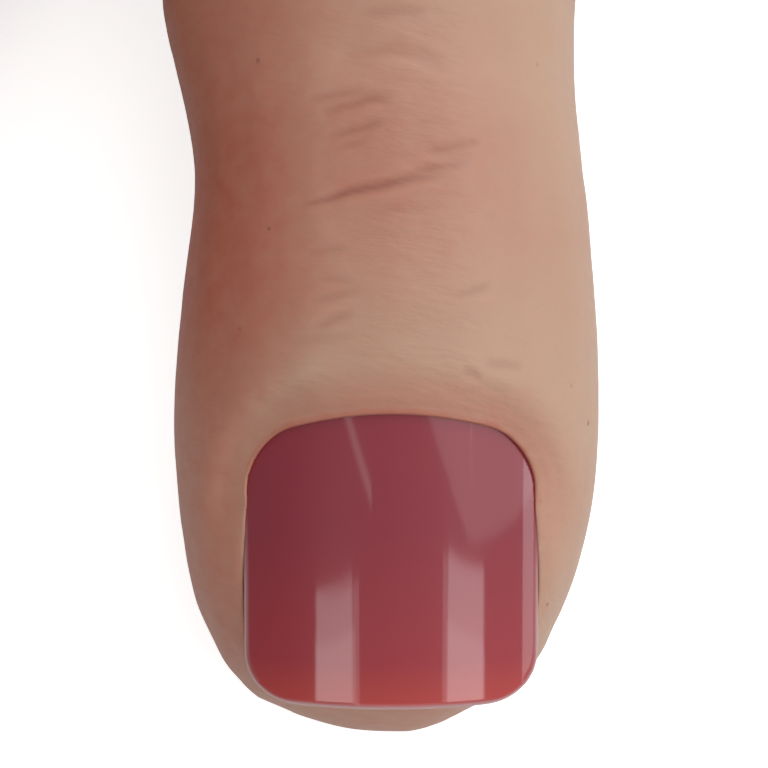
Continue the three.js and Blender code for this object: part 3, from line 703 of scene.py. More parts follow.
class NailPlan:
    """A nail's outline and curve, in its own frame, in millimetres."""

    def __init__(self, toe):
        big = toe.name == "big_toe"
        self.half = toe.nail_half
        self.full = toe.nail_full
        self.fold = toe.nail_full - (UNDER_FOLD if big else SMALL_UNDER_FOLD)
        self.radius = (self.half**2 + toe.sag**2) / (2 * toe.sag)
        self.thick = NAIL_THICK if big else SMALL_NAIL_THICK
        self.bow = ENDS_BOW_SHARE / self.half
        self.rear_corner = REAR_CORNER_SHARE * self.half
        self.free_corner = FREE_CORNER_SHARE * self.half

    def outside(self, across, back, length):
        """How far a place lies outside the outline of a plate of this length, below 0 inside it."""
        bowed = back + self.bow * across**2
        middle = length / 2
        corner = np.where(bowed > middle, self.rear_corner, self.free_corner)
        over = np.abs(across) - (self.half - corner)
        beyond = np.abs(bowed - middle) - (middle - corner)
        apart = np.hypot(np.maximum(over, 0), np.maximum(beyond, 0))
        return apart + np.minimum(np.maximum(over, beyond), 0) - corner

    def top(self, across):
        """Height of the plate's outer face."""
        reach = np.minimum(np.abs(across), self.radius * BEND_LIMIT_SHARE)
        return np.sqrt(self.radius**2 - reach**2) - self.radius

    def under(self, across):
        """Height of the plate's inner face."""
        reach = np.minimum(np.abs(across), (self.radius - self.thick) * BEND_LIMIT_SHARE)
        return np.sqrt((self.radius - self.thick) ** 2 - reach**2) - self.radius


plans = {name: NailPlan(toe) for name, toe in toes.items()}
print("folds at", {name: round(plan.fold, 1) for name, plan in plans.items()})

# %% Carve the nail beds
FOLD_PASSES = 60
FOLD_BAND = 0.8
FOLD_DEEP = -5
FOLD_FRONT = -1
NAIL_LEAN = 1.7
CARVE_REACH, CARVE_SPARE, CARVE_FRONT = 3.2, 0.4, -2
FACES_OFF_NAIL = 0.05
SIDES_WIDER, SIDES_WIDEN = 0.3, (0.35, 0.7)
LIP_LOW, LIP_RISE, LIP_RISES, LIP_BY_SIZE = 0.12, 0.32, 0.55, 0.4
FREE_DROP, FREE_DROP_ENDS = 1.7, 0.5
BORDER_TAKES_HOLD = (0.1, 0.75)
BED_GAP, BED_TAKES_HOLD = 0.12, 0.4
BLEND_FROM, BLEND_REACH, BLEND_SPARE = 0.15, 2.8, 0.3
ROLL_HIGH, ROLL_AWAY, ROLL_WIDE, ROLL_STARTS = 0.12, 0.9, 0.55, (0.2, 0.5)
BORDER_STEP = (0.02, 0.4)
ROUND_STARTS, ROUND_ENDS, ROUND_BACK = (0.9, 2), (4.5, 6), (2, 5)


def near_fold(middles):
    """Faces of the upper skin beside the outline of any nail's fold."""
    nearest, local, lean = lanes(middles)
    chosen = np.zeros(len(middles), bool)
    for place, (toe, plan) in enumerate(zip(toes.values(), plans.values())):
        nail = toe.to_nail(local)
        aside = plan.outside(nail[:, 0], nail[:, 1], plan.fold)
        beside = (np.abs(aside) < FOLD_BAND) & (nail[:, 2] > FOLD_DEEP) & (nail[:, 1] > FOLD_FRONT)
        chosen |= (nearest == place) & beside
    return chosen


def carve_bed(points, normals, toe):
    """Shape the skin of a toe round its nail and under it. Places back along it are shares of the fold."""
    nearest, local, lean = lanes(points)
    nail = toe.to_nail(local)
    plan = plans[toe.name]
    size = plan.half / plans["big_toe"].half
    aside = plan.outside(nail[:, 0], nail[:, 1], plan.fold)
    aside += SIDES_WIDER * size * ease(nail[:, 1], SIDES_WIDEN[0] * plan.fold, SIDES_WIDEN[1] * plan.fold)
    mine = (nearest == TOES.index(toe.name)) & (lean < NAIL_LEAN)
    mine &= aside < CARVE_REACH * size + CARVE_SPARE
    mine &= (normals @ toe.nail_up() > FACES_OFF_NAIL) & (nail[:, 1] > CARVE_FRONT * size)
    across, back, height = nail[mine].T
    aside = aside[mine]
    lip = LIP_LOW + LIP_RISE * ease(back, LIP_RISES * plan.fold, plan.fold)
    lip -= FREE_DROP * size * (1 - ease(back, 0, FREE_DROP_ENDS * plan.fold))
    border = plan.top(across) + lip * (1 - LIP_BY_SIZE + LIP_BY_SIZE * size)
    free = 1 - ease(back, BORDER_TAKES_HOLD[0] * plan.fold, BORDER_TAKES_HOLD[1] * plan.fold)
    border += (np.minimum(border, height) - border) * free
    bed = plan.under(across) - BED_GAP
    bed += (np.minimum(bed, height) - bed) * (1 - ease(back, 0, BED_TAKES_HOLD * plan.fold))
    outer = border + (height - border) * ease(aside, BLEND_FROM, BLEND_REACH * size + BLEND_SPARE)
    roll = ROLL_HIGH * size * np.exp(-(((aside - ROLL_AWAY * size) / (ROLL_WIDE * size)) ** 2))
    outer += roll * ease(back, ROLL_STARTS[0] * plan.fold, ROLL_STARTS[1] * plan.fold)
    inner = border + (bed - border) * ease(-aside, *BORDER_STEP)
    nail[mine, 2] = np.where(aside > 0, outer, inner)
    points[mine] = toe.from_toe(toe.from_nail(nail[mine]))
    return points


subdivide(skin, near_fold)
points, normals = mesh_points(skin), mesh_normals(skin)
for toe in toes.values():
    points = carve_bed(points, normals, toe)
set_points(skin, points)
smooth_toes(1)
points = mesh_points(skin)
nearest, local, lean = lanes(points)
soft = np.zeros(len(points))
for place, (toe, plan) in enumerate(zip(toes.values(), plans.values())):
    size = plan.half / plans["big_toe"].half
    nail = toe.to_nail(local)
    aside = plan.outside(nail[:, 0], nail[:, 1], plan.fold) / size
    mine = (nearest == place) & (lean < NAIL_LEAN) & (aside > 0)
    round_off = ease(aside, *ROUND_STARTS) * (1 - ease(aside, *ROUND_ENDS))
    round_off = round_off * ease(nail[:, 1] / size, *ROUND_BACK)
    soft[mine] = round_off[mine]
smooth(skin, FOLD_PASSES, soft)
print("carved cast", len(skin.data.polygons))

# %% [markdown]
# Skin over a joint lies in folds. Each crease is a line along the top of a toe, pressed in along the
# surface's own normals, with a low swell on either side of it. The big toe has one deep crease over
# its knuckle and finer ones around it, and the small toes have three short ones each. A line is given
# by its points, u and v, its width and its depth. How near each point of the skin is to a crease is
# kept, for a darker red painted along each crease: partly the redder skin of a fold, partly painted
# shade in the crease.

# %% Press in the creases
BIG_CREASES = [
    (((22.8, -5.2), (22.5, -3.4), (22.1, -2.2), (21.9, -0.7), (21.5, 0.9), (21.2, 3.4)), 0.26, 0.24),
    (((21.1, 0.9), (20.8, 2.5), (20.5, 4.4)), 0.28, 0.12),
    (((17.8, -4), (17.4, -2.5), (17.1, -1.3), (17.1, 0)), 0.28, 0.14),
    (((17.0, -4.8), (16.6, -1.4)), 0.28, 0.1),
    (((19.2, -3.6), (18.8, -2.2), (18.4, -0.6)), 0.28, 0.12),
    (((19.8, -3.2), (19.3, -1.2)), 0.26, 0.08),
    (((20, 1.8), (19.7, 3.3), (19.2, 5)), 0.28, 0.12),
    (((20.2, 2), (20, 4.6)), 0.26, 0.07),
    (((23.4, -1.6), (23.2, 0.4), (23.4, 2.2)), 0.3, 0.05),
    (((25.4, -4.8), (25.2, -2.4)), 0.28, 0.07),
    (((26.9, -4), (27, -2)), 0.26, 0.06),
    (((28.1, -4.6), (27.5, -1.6)), 0.3, 0.08),
    (((29.5, -4.4), (28.7, -2)), 0.28, 0.09),
    (((27.9, 3.2), (27.5, 4.6), (27, 5.6)), 0.28, 0.08),
    (((30.2, -6), (30, -2)), 0.3, 0.05),
    (((31.3, 5), (31.4, 7.4)), 0.28, 0.08),
    (((31.7, 3.8), (32.1, 5)), 0.28, 0.08),
    (((14.8, -3), (14.5, 0), (15, 3)), 0.4, 0.08),
    (((12.6, -2), (12.4, 2)), 0.4, 0.08),
]
SMALL_KNUCKLE_CREASES = [(-0.6, -0.9, -0.5, 0.6, 0.28), (1.6, 1.4, 1.7, 0.55, 0.2)]
SMALL_TIP_CREASE = (0.62, 0.6, 0.55, 0.16)
SMALL_CREASE_SHARE = 0.42
CREASE_RED_AND_SHADE_DEPTH = 0.3
CREASE_LEAN = 1.6
CREASES_FROM = 1
CREASES_FACE_UP = 0.35
SWELL_SHARE, SWELL_AWAY, SWELL_WIDE = 0.3, 2.3, 1.3
TAPER_POWER = 3
RED_AND_SHADE_NARROWS = 1.2


def press_crease(points, normals, chosen, local, line, width, depth):
    """Press one crease into the chosen points of a toe's upper side, and say how near they are to it."""
    place = local[chosen][:, :2]
    gap = np.full(len(place), np.inf)
    along = np.zeros(len(place))
    for step, (start, end) in enumerate(zip(line[:-1], line[1:])):
        start, end = np.array(start), np.array(end)
        run = end - start
        share = np.clip(((place - start) @ run) / (run @ run), 0, 1)
        apart = np.linalg.norm(place - start - share[:, None] * run, axis=1)
        along = np.where(apart < gap, (step + share) / (len(line) - 1), along)
        gap = np.minimum(gap, apart)
    beside = np.exp(-(((gap / width - SWELL_AWAY) / SWELL_WIDE) ** 2))
    hollow = np.exp(-((gap / width) ** 2)) - SWELL_SHARE * beside
    taper = 1 - np.abs(2 * along - 1) ** TAPER_POWER
    points[chosen] -= normals[chosen] * (depth * hollow * taper)[:, None]
    # How much darker red is painted here: the redder skin of a fold and painted shade in the crease
    return np.exp(-((RED_AND_SHADE_NARROWS * gap / width) ** 2)) * taper * min(depth / CREASE_RED_AND_SHADE_DEPTH, 1)


def small_creases(toe):
    """Short creases over a small toe's knuckle, and one behind its nail."""
    half = SMALL_CREASE_SHARE * toe.nail_half
    lines = []
    for left, middle, right, width, depth in SMALL_KNUCKLE_CREASES:
        line = ((toe.knuckle + left, -half), (toe.knuckle + middle, 0), (toe.knuckle + right, half))
        lines.append((line, width, depth))
    left, right, width, depth = SMALL_TIP_CREASE
    bare = toe.tip - toe.knuckle - toe.nail_full
    lines.append((((toe.knuckle + left * bare, -half), (toe.knuckle + right * bare, half)), width, depth))
    return lines


points, normals = mesh_points(skin), mesh_normals(skin)
nearest, local, lean = lanes(points)
creases_red_and_shade = np.zeros(len(points))
for place, toe in enumerate(toes.values()):
    upper = (local[:, 0] > CREASES_FROM) & (normals[:, 2] > CREASES_FACE_UP)
    chosen = np.flatnonzero((nearest == place) & (lean < CREASE_LEAN) & upper)
    for line, width, depth in BIG_CREASES if place == 0 else small_creases(toe):
        near = press_crease(points, normals, chosen, local, line, width, depth)
        creases_red_and_shade[chosen] = np.maximum(creases_red_and_shade[chosen], near)
set_points(skin, points)
print("creases on the big toe", len(BIG_CREASES))

# %% [markdown]
# Each toe bends at its root and at its knuckle, and a bending skin can follow one hinge only. So the
# casting is cut across each toe: just in front of the web, on a plane that leans with the web, and
# between the two hinges. The cuts are bisects, and they don't show, because both sides keep the same
# points and the same normals. Float values are painted on first, for the colours and for the soft
# light under the skin, which has to fade out at a cut. For each toe the cuts say where its root is
# cut, how far that plane leans, how long its bend is, where the middle cut is and where the knuckle's
# bend ends.

# %% Paint the skin's values
CUTS = {
    "big_toe": (-2.2, 0.0, 13.0, 15.5, 30.0),
    "second_toe": (1.8, -0.22, 10.5, 14.6, 28.0),
    "third_toe": (4.0, 0.28, 7.6, 14.3, 23.5),
    "fourth_toe": (4.0, 0.31, 6.8, 13.8, 20.5),
    "little_toe": (2.3, 0.28, 6.0, 10.8, 16.8),
}
SOLE_BLUSH, KNUCKLE_BLUSH, FOLD_BLUSH, LIP_BLUSH, END_BLUSH = 0.5, 0.6, 0.45, 0.75, 0.44
SOLE_FACES = (0.2, 0.95)
KNUCKLE_SPOT, KNUCKLE_FACES = (-2.5, -1.5, 8.5, 9), (-0.1, 0.6)
FOLD_BLUSH_WIDE, LIP_BLUSH_INSIDE, LIP_BLUSH_WIDE = 2.2, 0.3, 0.2
END_BLUSH_LONG = 7
PAST_KNUCKLE = (3, 12)
# Painted shade, with a redder tone, on each toe's side away from the big toe
SIDE_SHADE, SIDE_SHADE_BY_SIZE = 0.3, 0.6
SIDE_REACH, SIDE_REACH_LESS_PAST, SIDE_RISES = (-10, 3.5), 8.5, (-2, 8)
SIDE_LESS_PAST, SIDE_FACES, SIDE_FACES_SHARE = 0.3, (-0.6, -0.05), 0.6
SIDE_WAIST, SIDE_WAIST_SHARE = (10, 21), 0.22
FADE_AT_CUT = (0.4, 2.8)


class Cut:
    """Where a toe's skin is cut, and where it bends, in its own frame, in millimetres."""

    def __init__(self, toe):
        self.root, self.lean, self.run, self.middle, self.last = CUTS[toe.name]
        self.toe = toe
        ahead = toe.ahead - self.lean * toe.side
        self.ahead = ahead / np.linalg.norm(ahead)

    def past_root(self, local):
        """How far places lie in front of the root's cut."""
        return (local[:, 0] - self.root - self.lean * local[:, 1]) / math.hypot(1, self.lean)

    def place(self, u):
        """A point on the toe's middle line, at the height of its hinges, in row-frame millimetres."""
        return self.toe.from_toe(np.array([[u, 0, self.toe.pin[2]]]))[0]


cuts = {name: Cut(toe) for name, toe in toes.items()}


def paint(obj, name, values):
    """Store one value a point on a mesh, or three."""
    kind, field = ("FLOAT", "value") if values.ndim == 1 else ("FLOAT_VECTOR", "vector")
    layer = obj.data.attributes.new(name, kind, "POINT")
    layer.data.foreach_set(field, values.astype(np.float32).ravel())


def spot(local, u, v, long, wide):
    """A soft round patch on a toe's upper side."""
    return np.exp(-(((local[:, 0] - u) / long) ** 2) - ((local[:, 1] - v) / wide) ** 2)


def skin_values(points, normals):
    """How reddened the skin is at each point, with painted shade on the toe's side away from the big toe, and
    how much light may spread under it, 0 at a cut.
    """
    nearest, local, lean = lanes(points)
    blush_and_shade = SOLE_BLUSH * ease(-normals[:, 2], *SOLE_FACES)
    depth = np.ones(len(points))
    for place, (toe, cut) in enumerate(zip(toes.values(), cuts.values())):
        mine = (nearest == place) & (lean < ON_TOES)
        part = local[mine]
        size = toe.nail_half / toes["big_toe"].nail_half
        plan = plans[toe.name]
        nail = toe.to_nail(part)
        aside = plan.outside(nail[:, 0], nail[:, 1], plan.fold)
        ahead, across, long, wide = (part_of * size for part_of in KNUCKLE_SPOT)
        knuckle = spot(part, toe.knuckle + ahead, across, long, wide)
        knuckle *= KNUCKLE_BLUSH * ease(normals[mine, 2], *KNUCKLE_FACES)
        fold = np.exp(-((np.maximum(aside, 0) / (FOLD_BLUSH_WIDE * size)) ** 2))
        fold *= ease(nail[:, 1], 0, plan.fold)
        lip = np.exp(-((aside / size + LIP_BLUSH_INSIDE) ** 2) / LIP_BLUSH_WIDE)
        lip *= ease(nail[:, 1], 0, plan.fold)
        fold = np.maximum(FOLD_BLUSH * fold, LIP_BLUSH * lip)
        end = END_BLUSH * ease(part[:, 0], toe.tip - END_BLUSH_LONG * size, toe.tip)
        # Painted shade, with a redder tone, on the toe's side away from the big toe, weaker past the knuckle
        # and on faces that turn down
        past = ease(part[:, 0], *(toe.knuckle + away * size for away in PAST_KNUCKLE))
        reach = (SIDE_REACH[1] - SIDE_REACH_LESS_PAST * past) * size
        side = (1 - ease(part[:, 1], SIDE_REACH[0] * size, reach)) * ease(part[:, 0], *SIDE_RISES)
        side *= 1 - SIDE_LESS_PAST * past
        side *= 1 - SIDE_FACES_SHARE * (1 - ease(normals[mine, 2], *SIDE_FACES))
        side *= 1 - SIDE_WAIST_SHARE * (1 - ease(part[:, 0], *(away * size for away in SIDE_WAIST)))
        side *= SIDE_SHADE + SIDE_SHADE_BY_SIZE * size
        blush_and_shade[mine] = np.max([blush_and_shade[mine], knuckle, fold, end, side], 0)
        apart = np.minimum(np.abs(cut.past_root(part)), np.abs(part[:, 0] - cut.middle))
        depth[mine] = ease(apart, *FADE_AT_CUT)
    return blush_and_shade, depth


points, normals = mesh_points(skin), mesh_normals(skin)
blush_and_shade, depth = skin_values(points, normals)
paint(skin, "blush_and_shade", blush_and_shade)
paint(skin, "crease", creases_red_and_shade)
paint(skin, "depth", depth)
paint(skin, "place", points)
print("blush_and_shade", round(float(blush_and_shade.mean()), 3), "depth", round(float(depth.mean()), 3))

# %% Cut the casting
NEAR_CUT = 4
CUT_LEAN = 3
CUTS_FROM = -8
CUT_SNAP = 1e-7


def bisect_lane(work, faces, middles, place, normal, origin):
    """Bisect the faces of one toe's lane near a plane."""
    nearest, local, lean = lanes(middles)
    away = (middles - origin) @ normal
    close = (np.abs(away) < NEAR_CUT) & (local[:, 0] > CUTS_FROM)
    chosen = np.flatnonzero((nearest == place) & (lean < CUT_LEAN) & close)
    picked = [faces[number] for number in chosen]
    geometry = set(picked)
    for face in picked:
        geometry.update(face.edges)
        geometry.update(face.verts)
    bmesh.ops.bisect_plane(work, geom=list(geometry), dist=CUT_SNAP, plane_co=origin * MM, plane_no=normal)


def face_middles(obj):
    """The middles of a mesh's faces, in millimetres."""
    middles = np.empty(len(obj.data.polygons) * 3)
    obj.data.polygons.foreach_get("center", middles)
    return middles.reshape(-1, 3) / MM


middles = face_middles(skin)
work = bmesh.new()
work.from_mesh(skin.data)
faces = list(work.faces)
for place, cut in enumerate(cuts.values()):
    bisect_lane(work, faces, middles, place, cut.ahead, cut.place(cut.root))
    bisect_lane(work, faces, middles, place, cut.toe.ahead, cut.place(cut.middle))
work.to_mesh(skin.data)
work.free()
nearest, local, lean = lanes(face_middles(skin))
piece = np.zeros(len(skin.data.polygons), int)
for place, cut in enumerate(cuts.values()):
    mine = (nearest == place) & (lean < CUT_LEAN) & (cut.past_root(local) > 0)
    piece[mine] = 1 + 2 * place
    piece[mine & (local[:, 0] > cut.middle)] = 2 + 2 * place
names = ["foot_skin_cast"]
for name in TOES:
    names += [f"{name}_back_skin", f"{name}_front_skin"]
skin.data.materials.clear()
for name in names:
    skin.data.materials.append(bpy.data.materials.new(name))
skin.data.polygons.foreach_set("material_index", piece)
paint(skin, "whole_normal", mesh_normals(skin))
pick_only(skin)
bpy.ops.object.mode_set(mode="EDIT")
bpy.ops.mesh.select_mode(type="FACE")
bpy.ops.mesh.select_all(action="SELECT")
bpy.ops.mesh.separate(type="MATERIAL")
bpy.ops.object.mode_set(mode="OBJECT")


def keep_seam_normals(obj):
    """Give a piece the whole casting's normals along its cut edges, so that no seam shows."""
    mesh = obj.data
    use = np.empty(len(mesh.loops), int)
    mesh.loops.foreach_get("edge_index", use)
    ends = np.empty(len(mesh.edges) * 2, int)
    mesh.edges.foreach_get("vertices", ends)
    cut_edges = np.flatnonzero(np.bincount(use, minlength=len(mesh.edges)) == 1)
    rim = np.unique(ends.reshape(-1, 2)[cut_edges])
    whole = np.empty(len(mesh.vertices) * 3)
    mesh.attributes["whole_normal"].data.foreach_get("vector", whole)
    kept = np.zeros((len(mesh.vertices), 3))
    kept[rim] = whole.reshape(-1, 3)[rim]
    mesh.attributes.remove(mesh.attributes["whole_normal"])
    mesh.normals_split_custom_set_from_vertices(kept.tolist())
    return len(rim)


skins = {}
for part in list(bpy.context.selected_objects):
    part.name = part.data.materials[0].name
    skins[part.name] = part
for name in names:
    bpy.data.materials.remove(bpy.data.materials[name])
for name in names:
    part = skins[name]
    part.data.materials.clear()
    print(name, "faces", len(part.data.polygons), "seam corners", keep_seam_normals(part))

# %% [markdown]
# A press-on nail is one thin plate: flat lengthwise, bent across, its corners rounded, its edge left
# square enough to catch light. It starts as a grid, which is laid into the rounded outline and bent,
# thickened inwards, its rim rounded with a bevel and the whole smoothed with a subdivision. Two values
# are painted on it for the varnish: how far back a point is, and how pale it is, on its edge faces and
# in a band along its outline towards the free edge.

# %% Model the nails
GRID_ACROSS = 24
GRID_BACK = 36
EDGE_ROUND_SHARE = 0.34
EDGE_SHARP = 50
FACE_DEPTH_SHARE = 0.06
RIM_DEPTH_SHARES = (0.12, 0.4)
PALE_BAND_INSIDE = (0.15, 0.42)
PALE_BAND_BACK = (0.3, 0.6)
PALE_BAND_SHARE = 0.7


def into_outline(square, plan):
    """Lay the places of a square grid, -1 to 1 both ways, into a nail's rounded outline."""
    reach = np.abs(square).max(1)
    edge = square / np.maximum(reach, 0.001)[:, None] * [plan.half, plan.full / 2]
    radius = np.where(edge[:, 1] > 0, plan.rear_corner, plan.free_corner)
    corner = np.stack([plan.half - radius, plan.full / 2 - radius], 1)
    over = np.maximum(np.abs(edge) - corner, 0)
    length = np.linalg.norm(over, axis=1)
    round_off = (over.min(1) > 0) & (length > 0)
    over[round_off] *= (radius[round_off] / length[round_off])[:, None]
    edge = np.where(over > 0, np.sign(edge) * (corner + over), edge)
    return edge * reach[:, None]


def nail_plate(toe, plan):
    """One nail, in its place on its toe."""
    bpy.ops.mesh.primitive_grid_add(x_subdivisions=GRID_ACROSS, y_subdivisions=GRID_BACK, size=2 * MM)
    plate = bpy.context.object
    laid = into_outline(mesh_points(plate)[:, :2], plan)
    back = laid[:, 1] + plan.full / 2
    back = back - plan.bow * laid[:, 0] ** 2 * back / plan.full
    nail = np.stack([laid[:, 0], back, plan.top(laid[:, 0])], 1)
    set_points(plate, toe.from_toe(toe.from_nail(nail)))
    if plate.data.polygons[0].normal.z < 0:
        bpy.ops.object.mode_set(mode="EDIT")
        bpy.ops.mesh.select_all(action="SELECT")
        bpy.ops.mesh.flip_normals()
        bpy.ops.object.mode_set(mode="OBJECT")
    thicken = plate.modifiers.new("thicken", "SOLIDIFY")
    thicken.thickness = plan.thick * MM
    thicken.offset = -1
    rim = plate.modifiers.new("rim", "BEVEL")
    rim.width = EDGE_ROUND_SHARE * plan.thick * MM
    rim.segments = 2
    rim.limit_method = "ANGLE"
    rim.angle_limit = math.radians(EDGE_SHARP)
    finer = plate.modifiers.new("finer", "SUBSURF")
    finer.levels = 1
    for modifier in (thicken, rim, finer):
        bpy.ops.object.modifier_apply(modifier=modifier.name)
    bpy.ops.object.shade_smooth()
    plate.name = f"{toe.name}_nail_plate"
    nail = toe.to_nail(toe.to_toe(mesh_points(plate)))
    sunk = plan.top(nail[:, 0]) - nail[:, 2]
    face = sunk < FACE_DEPTH_SHARE * plan.thick
    nail[face, 2] = plan.top(nail[face, 0])
    set_points(plate, toe.from_toe(toe.from_nail(nail)))
    paint(plate, "back", nail[:, 1])
    unbowed = nail[:, 1] / (1 - plan.bow * nail[:, 0] ** 2 / plan.full) - plan.bow * nail[:, 0] ** 2
    inside = -plan.outside(nail[:, 0], unbowed, plan.full)
    # Paler on the plate's edge faces and in a band along its outline towards the free edge
    pale_band = (1 - ease(inside, *PALE_BAND_INSIDE)) * (1 - ease(nail[:, 1] / plan.full, *PALE_BAND_BACK))
    paint(plate, "rim", np.maximum(ease(sunk / plan.thick, *RIM_DEPTH_SHARES), PALE_BAND_SHARE * pale_band))
    return plate


nails = {name: nail_plate(toe, plans[name]) for name, toe in toes.items()}
print("nail faces", [len(nail.data.polygons) for nail in nails.values()])

# %% [markdown]
# Every piece has its own finish. Silicone skin is satin: coloured through, with a little light spread
# under its surface, fine lines and pores in its relief, redder patches where blood shows, painted shade
# on each toe's side away from the big toe and darker red painted along the creases. A nail is
# varnish over plastic: deep colour under a hard clear coat. The rest is plain moulded plastic and zinc.
# Widths of patterns are in millimetres, and a noise has the inverse of its width as its scale.

# %% Set up the materials
CLOUD_WIDTH = 14.3
GRAIN_WIDTH = 1.11
PORE_SPACING = 3.57
LINE_SPACING = (2.0, 0.667, 1.43)
RELIEF_DEPTH = 0.12
MOULD_RELIEF_DEPTH = 0.05
GLOSS_UNEVEN = 0.05
PLATING_GRAIN = 0.667
# A colour mix knows its inputs and its output by number
SHARE, FIRST, SECOND, MIXED = 0, 6, 7, 2


def linear(code):
    """A colour written as on screen, such as #c39a86, as linear red, green, blue and alpha."""
    parts = [int(code[place:place + 2], 16) / 255 for place in (1, 3, 5)]
    return [part / 12.92 if part <= 0.04045 else ((part + 0.055) / 1.055) ** 2.4 for part in parts] + [1.0]


def put(tree, node, inputs):
    """Set a node's inputs to values, or link them to other nodes' outputs."""
    for socket, value in inputs.items():
        if isinstance(value, bpy.types.NodeSocket):
            tree.links.new(value, node.inputs[socket])
        else:
            node.inputs[socket].default_value = value


def add(tree, kind, output, inputs, **settings):
    """Add a node with its settings and its inputs, and give back one of its outputs."""
    node = tree.nodes.new(kind)
    for field, value in settings.items():
        setattr(node, field, value)
    put(tree, node, inputs)
    return node.outputs[output]


def new_finish(name):
    """A new material, its node tree and its shader."""
    material = bpy.data.materials.new(name)
    material.use_nodes = True
    return material, material.node_tree, material.node_tree.nodes["Principled BSDF"]


def silicone():
    """Soft satin silicone, tinted through: pale, redder where blood shows, painted shade on the toes' far
    sides and darker red painted in the creases, with fine lines and pores.
    """
    material, tree, shader = new_finish("silicone_skin")
    place = add(tree, "ShaderNodeAttribute", "Vector", {}, attribute_name="place")
    blush_and_shade = add(tree, "ShaderNodeAttribute", "Fac", {}, attribute_name="blush_and_shade")
    crease = add(tree, "ShaderNodeAttribute", "Fac", {}, attribute_name="crease")
    depth = add(tree, "ShaderNodeAttribute", "Fac", {}, attribute_name="depth")
    cloud = add(tree, "ShaderNodeTexNoise", "Fac", {"Vector": place, "Scale": 1 / CLOUD_WIDTH, "Detail": 4})
    grain = add(tree, "ShaderNodeTexNoise", "Fac", {"Vector": place, "Scale": 1 / GRAIN_WIDTH, "Detail": 4})
    # The cast's own colour, in pale clouds
    tint = add(tree, "ShaderNodeMapRange", "Result", {"Value": cloud, "From Min": 0.35, "From Max": 0.7})
    base = add(tree, "ShaderNodeMix", MIXED,
               {SHARE: tint, FIRST: linear("#c9a68e"), SECOND: linear("#c49c85")}, data_type="RGBA")
    # Redder where blood shows, a little unevenly, with painted shade on each toe's side away from the big toe
    uneven = add(tree, "ShaderNodeMapRange", "Result",
                 {"Value": grain, "From Min": 0.3, "From Max": 0.7, "To Min": 0.82, "To Max": 1})
    red_and_shade = add(tree, "ShaderNodeMath", "Value", {0: blush_and_shade, 1: uneven}, operation="MULTIPLY")
    base = add(tree, "ShaderNodeMix", MIXED, {SHARE: red_and_shade, FIRST: base, SECOND: linear("#b75c48")},
               data_type="RGBA")
    # Darker red in the creases: the redder skin of a fold and painted shade in the crease
    crease_red_and_shade_share = add(tree, "ShaderNodeMath", "Value", {0: crease, 1: 0.7}, operation="MULTIPLY")
    base = add(tree, "ShaderNodeMix", MIXED, {SHARE: crease_red_and_shade_share, FIRST: base, SECOND: linear("#9a4e3e")},
               data_type="RGBA")
    # Pores as small dark dots, each of its own strength
    pore = add(tree, "ShaderNodeTexVoronoi", "Distance", {"Vector": place, "Scale": 1 / PORE_SPACING})
    dot = add(tree, "ShaderNodeMapRange", "Result",
              {"Value": pore, "From Min": 0.03, "From Max": 0.055, "To Min": 0.7, "To Max": 0})
    dark = add(tree, "ShaderNodeMath", "Value", {0: dot, 1: pore.node.outputs["Color"]}, operation="MULTIPLY")
    base = add(tree, "ShaderNodeMix", MIXED, {SHARE: dark, FIRST: base, SECOND: linear("#6d3b30")},
               data_type="RGBA")
    # Fine lines across the toes, in the relief alone
    stretched = add(tree, "ShaderNodeMapping", "Vector",
                    {"Vector": place, "Scale": [1 / spacing for spacing in LINE_SPACING]})
    lines = add(tree, "ShaderNodeTexNoise", "Fac", {"Vector": stretched, "Scale": 1.0, "Detail": 5})
    lined = add(tree, "ShaderNodeMapRange", "Result", {"Value": lines, "From Min": 0.3, "From Max": 0.7})
    grainy = add(tree, "ShaderNodeMapRange", "Result",
                 {"Value": grain, "From Min": 0.2, "From Max": 0.8, "To Min": 0.5, "To Max": 1})
    relief = add(tree, "ShaderNodeMath", "Value", {0: lined, 1: grainy}, operation="MULTIPLY")
    bump = add(tree, "ShaderNodeBump", "Normal",
               {"Height": relief, "Strength": 0.4, "Distance": RELIEF_DEPTH * MM})
    glow = add(tree, "ShaderNodeMath", "Value", {0: depth, 1: 0.45}, operation="MULTIPLY")
    put(tree, shader, {"Base Color": base, "Roughness": 0.42, "Normal": bump, "Subsurface Weight": glow,
                       "Subsurface Radius": (1.0, 0.45, 0.3), "Subsurface Scale": 1.6 * MM})
    return material


def lacquer():
    """Wine-red varnish on a plastic nail, glossy as glass, redder to the free edge and pale at the rim."""
    material, tree, shader = new_finish("nail_lacquer")
    back = add(tree, "ShaderNodeAttribute", "Fac", {}, attribute_name="back")
    rim = add(tree, "ShaderNodeAttribute", "Fac", {}, attribute_name="rim")
    front = add(tree, "ShaderNodeMapRange", "Result",
                {"Value": back, "From Min": 1, "From Max": 10, "To Min": 1, "To Max": 0})
    edge = add(tree, "ShaderNodeMapRange", "Result",
               {"Value": back, "From Min": 0.2, "From Max": 2.6, "To Min": 1, "To Max": 0})
    colour = add(tree, "ShaderNodeMix", MIXED,
                 {SHARE: front, FIRST: linear("#902b3a"), SECOND: linear("#a33038")}, data_type="RGBA")
    colour = add(tree, "ShaderNodeMix", MIXED, {SHARE: edge, FIRST: colour, SECOND: linear("#b63d38")},
                 data_type="RGBA")
    colour = add(tree, "ShaderNodeMix", MIXED, {SHARE: rim, FIRST: colour, SECOND: linear("#d0aaad")},
                 data_type="RGBA")
    put(tree, shader, {"Base Color": colour, "Roughness": 0.35, "Specular IOR Level": 0.2,
                       "Coat Weight": 1.0, "Coat Roughness": 0.05})
    return material


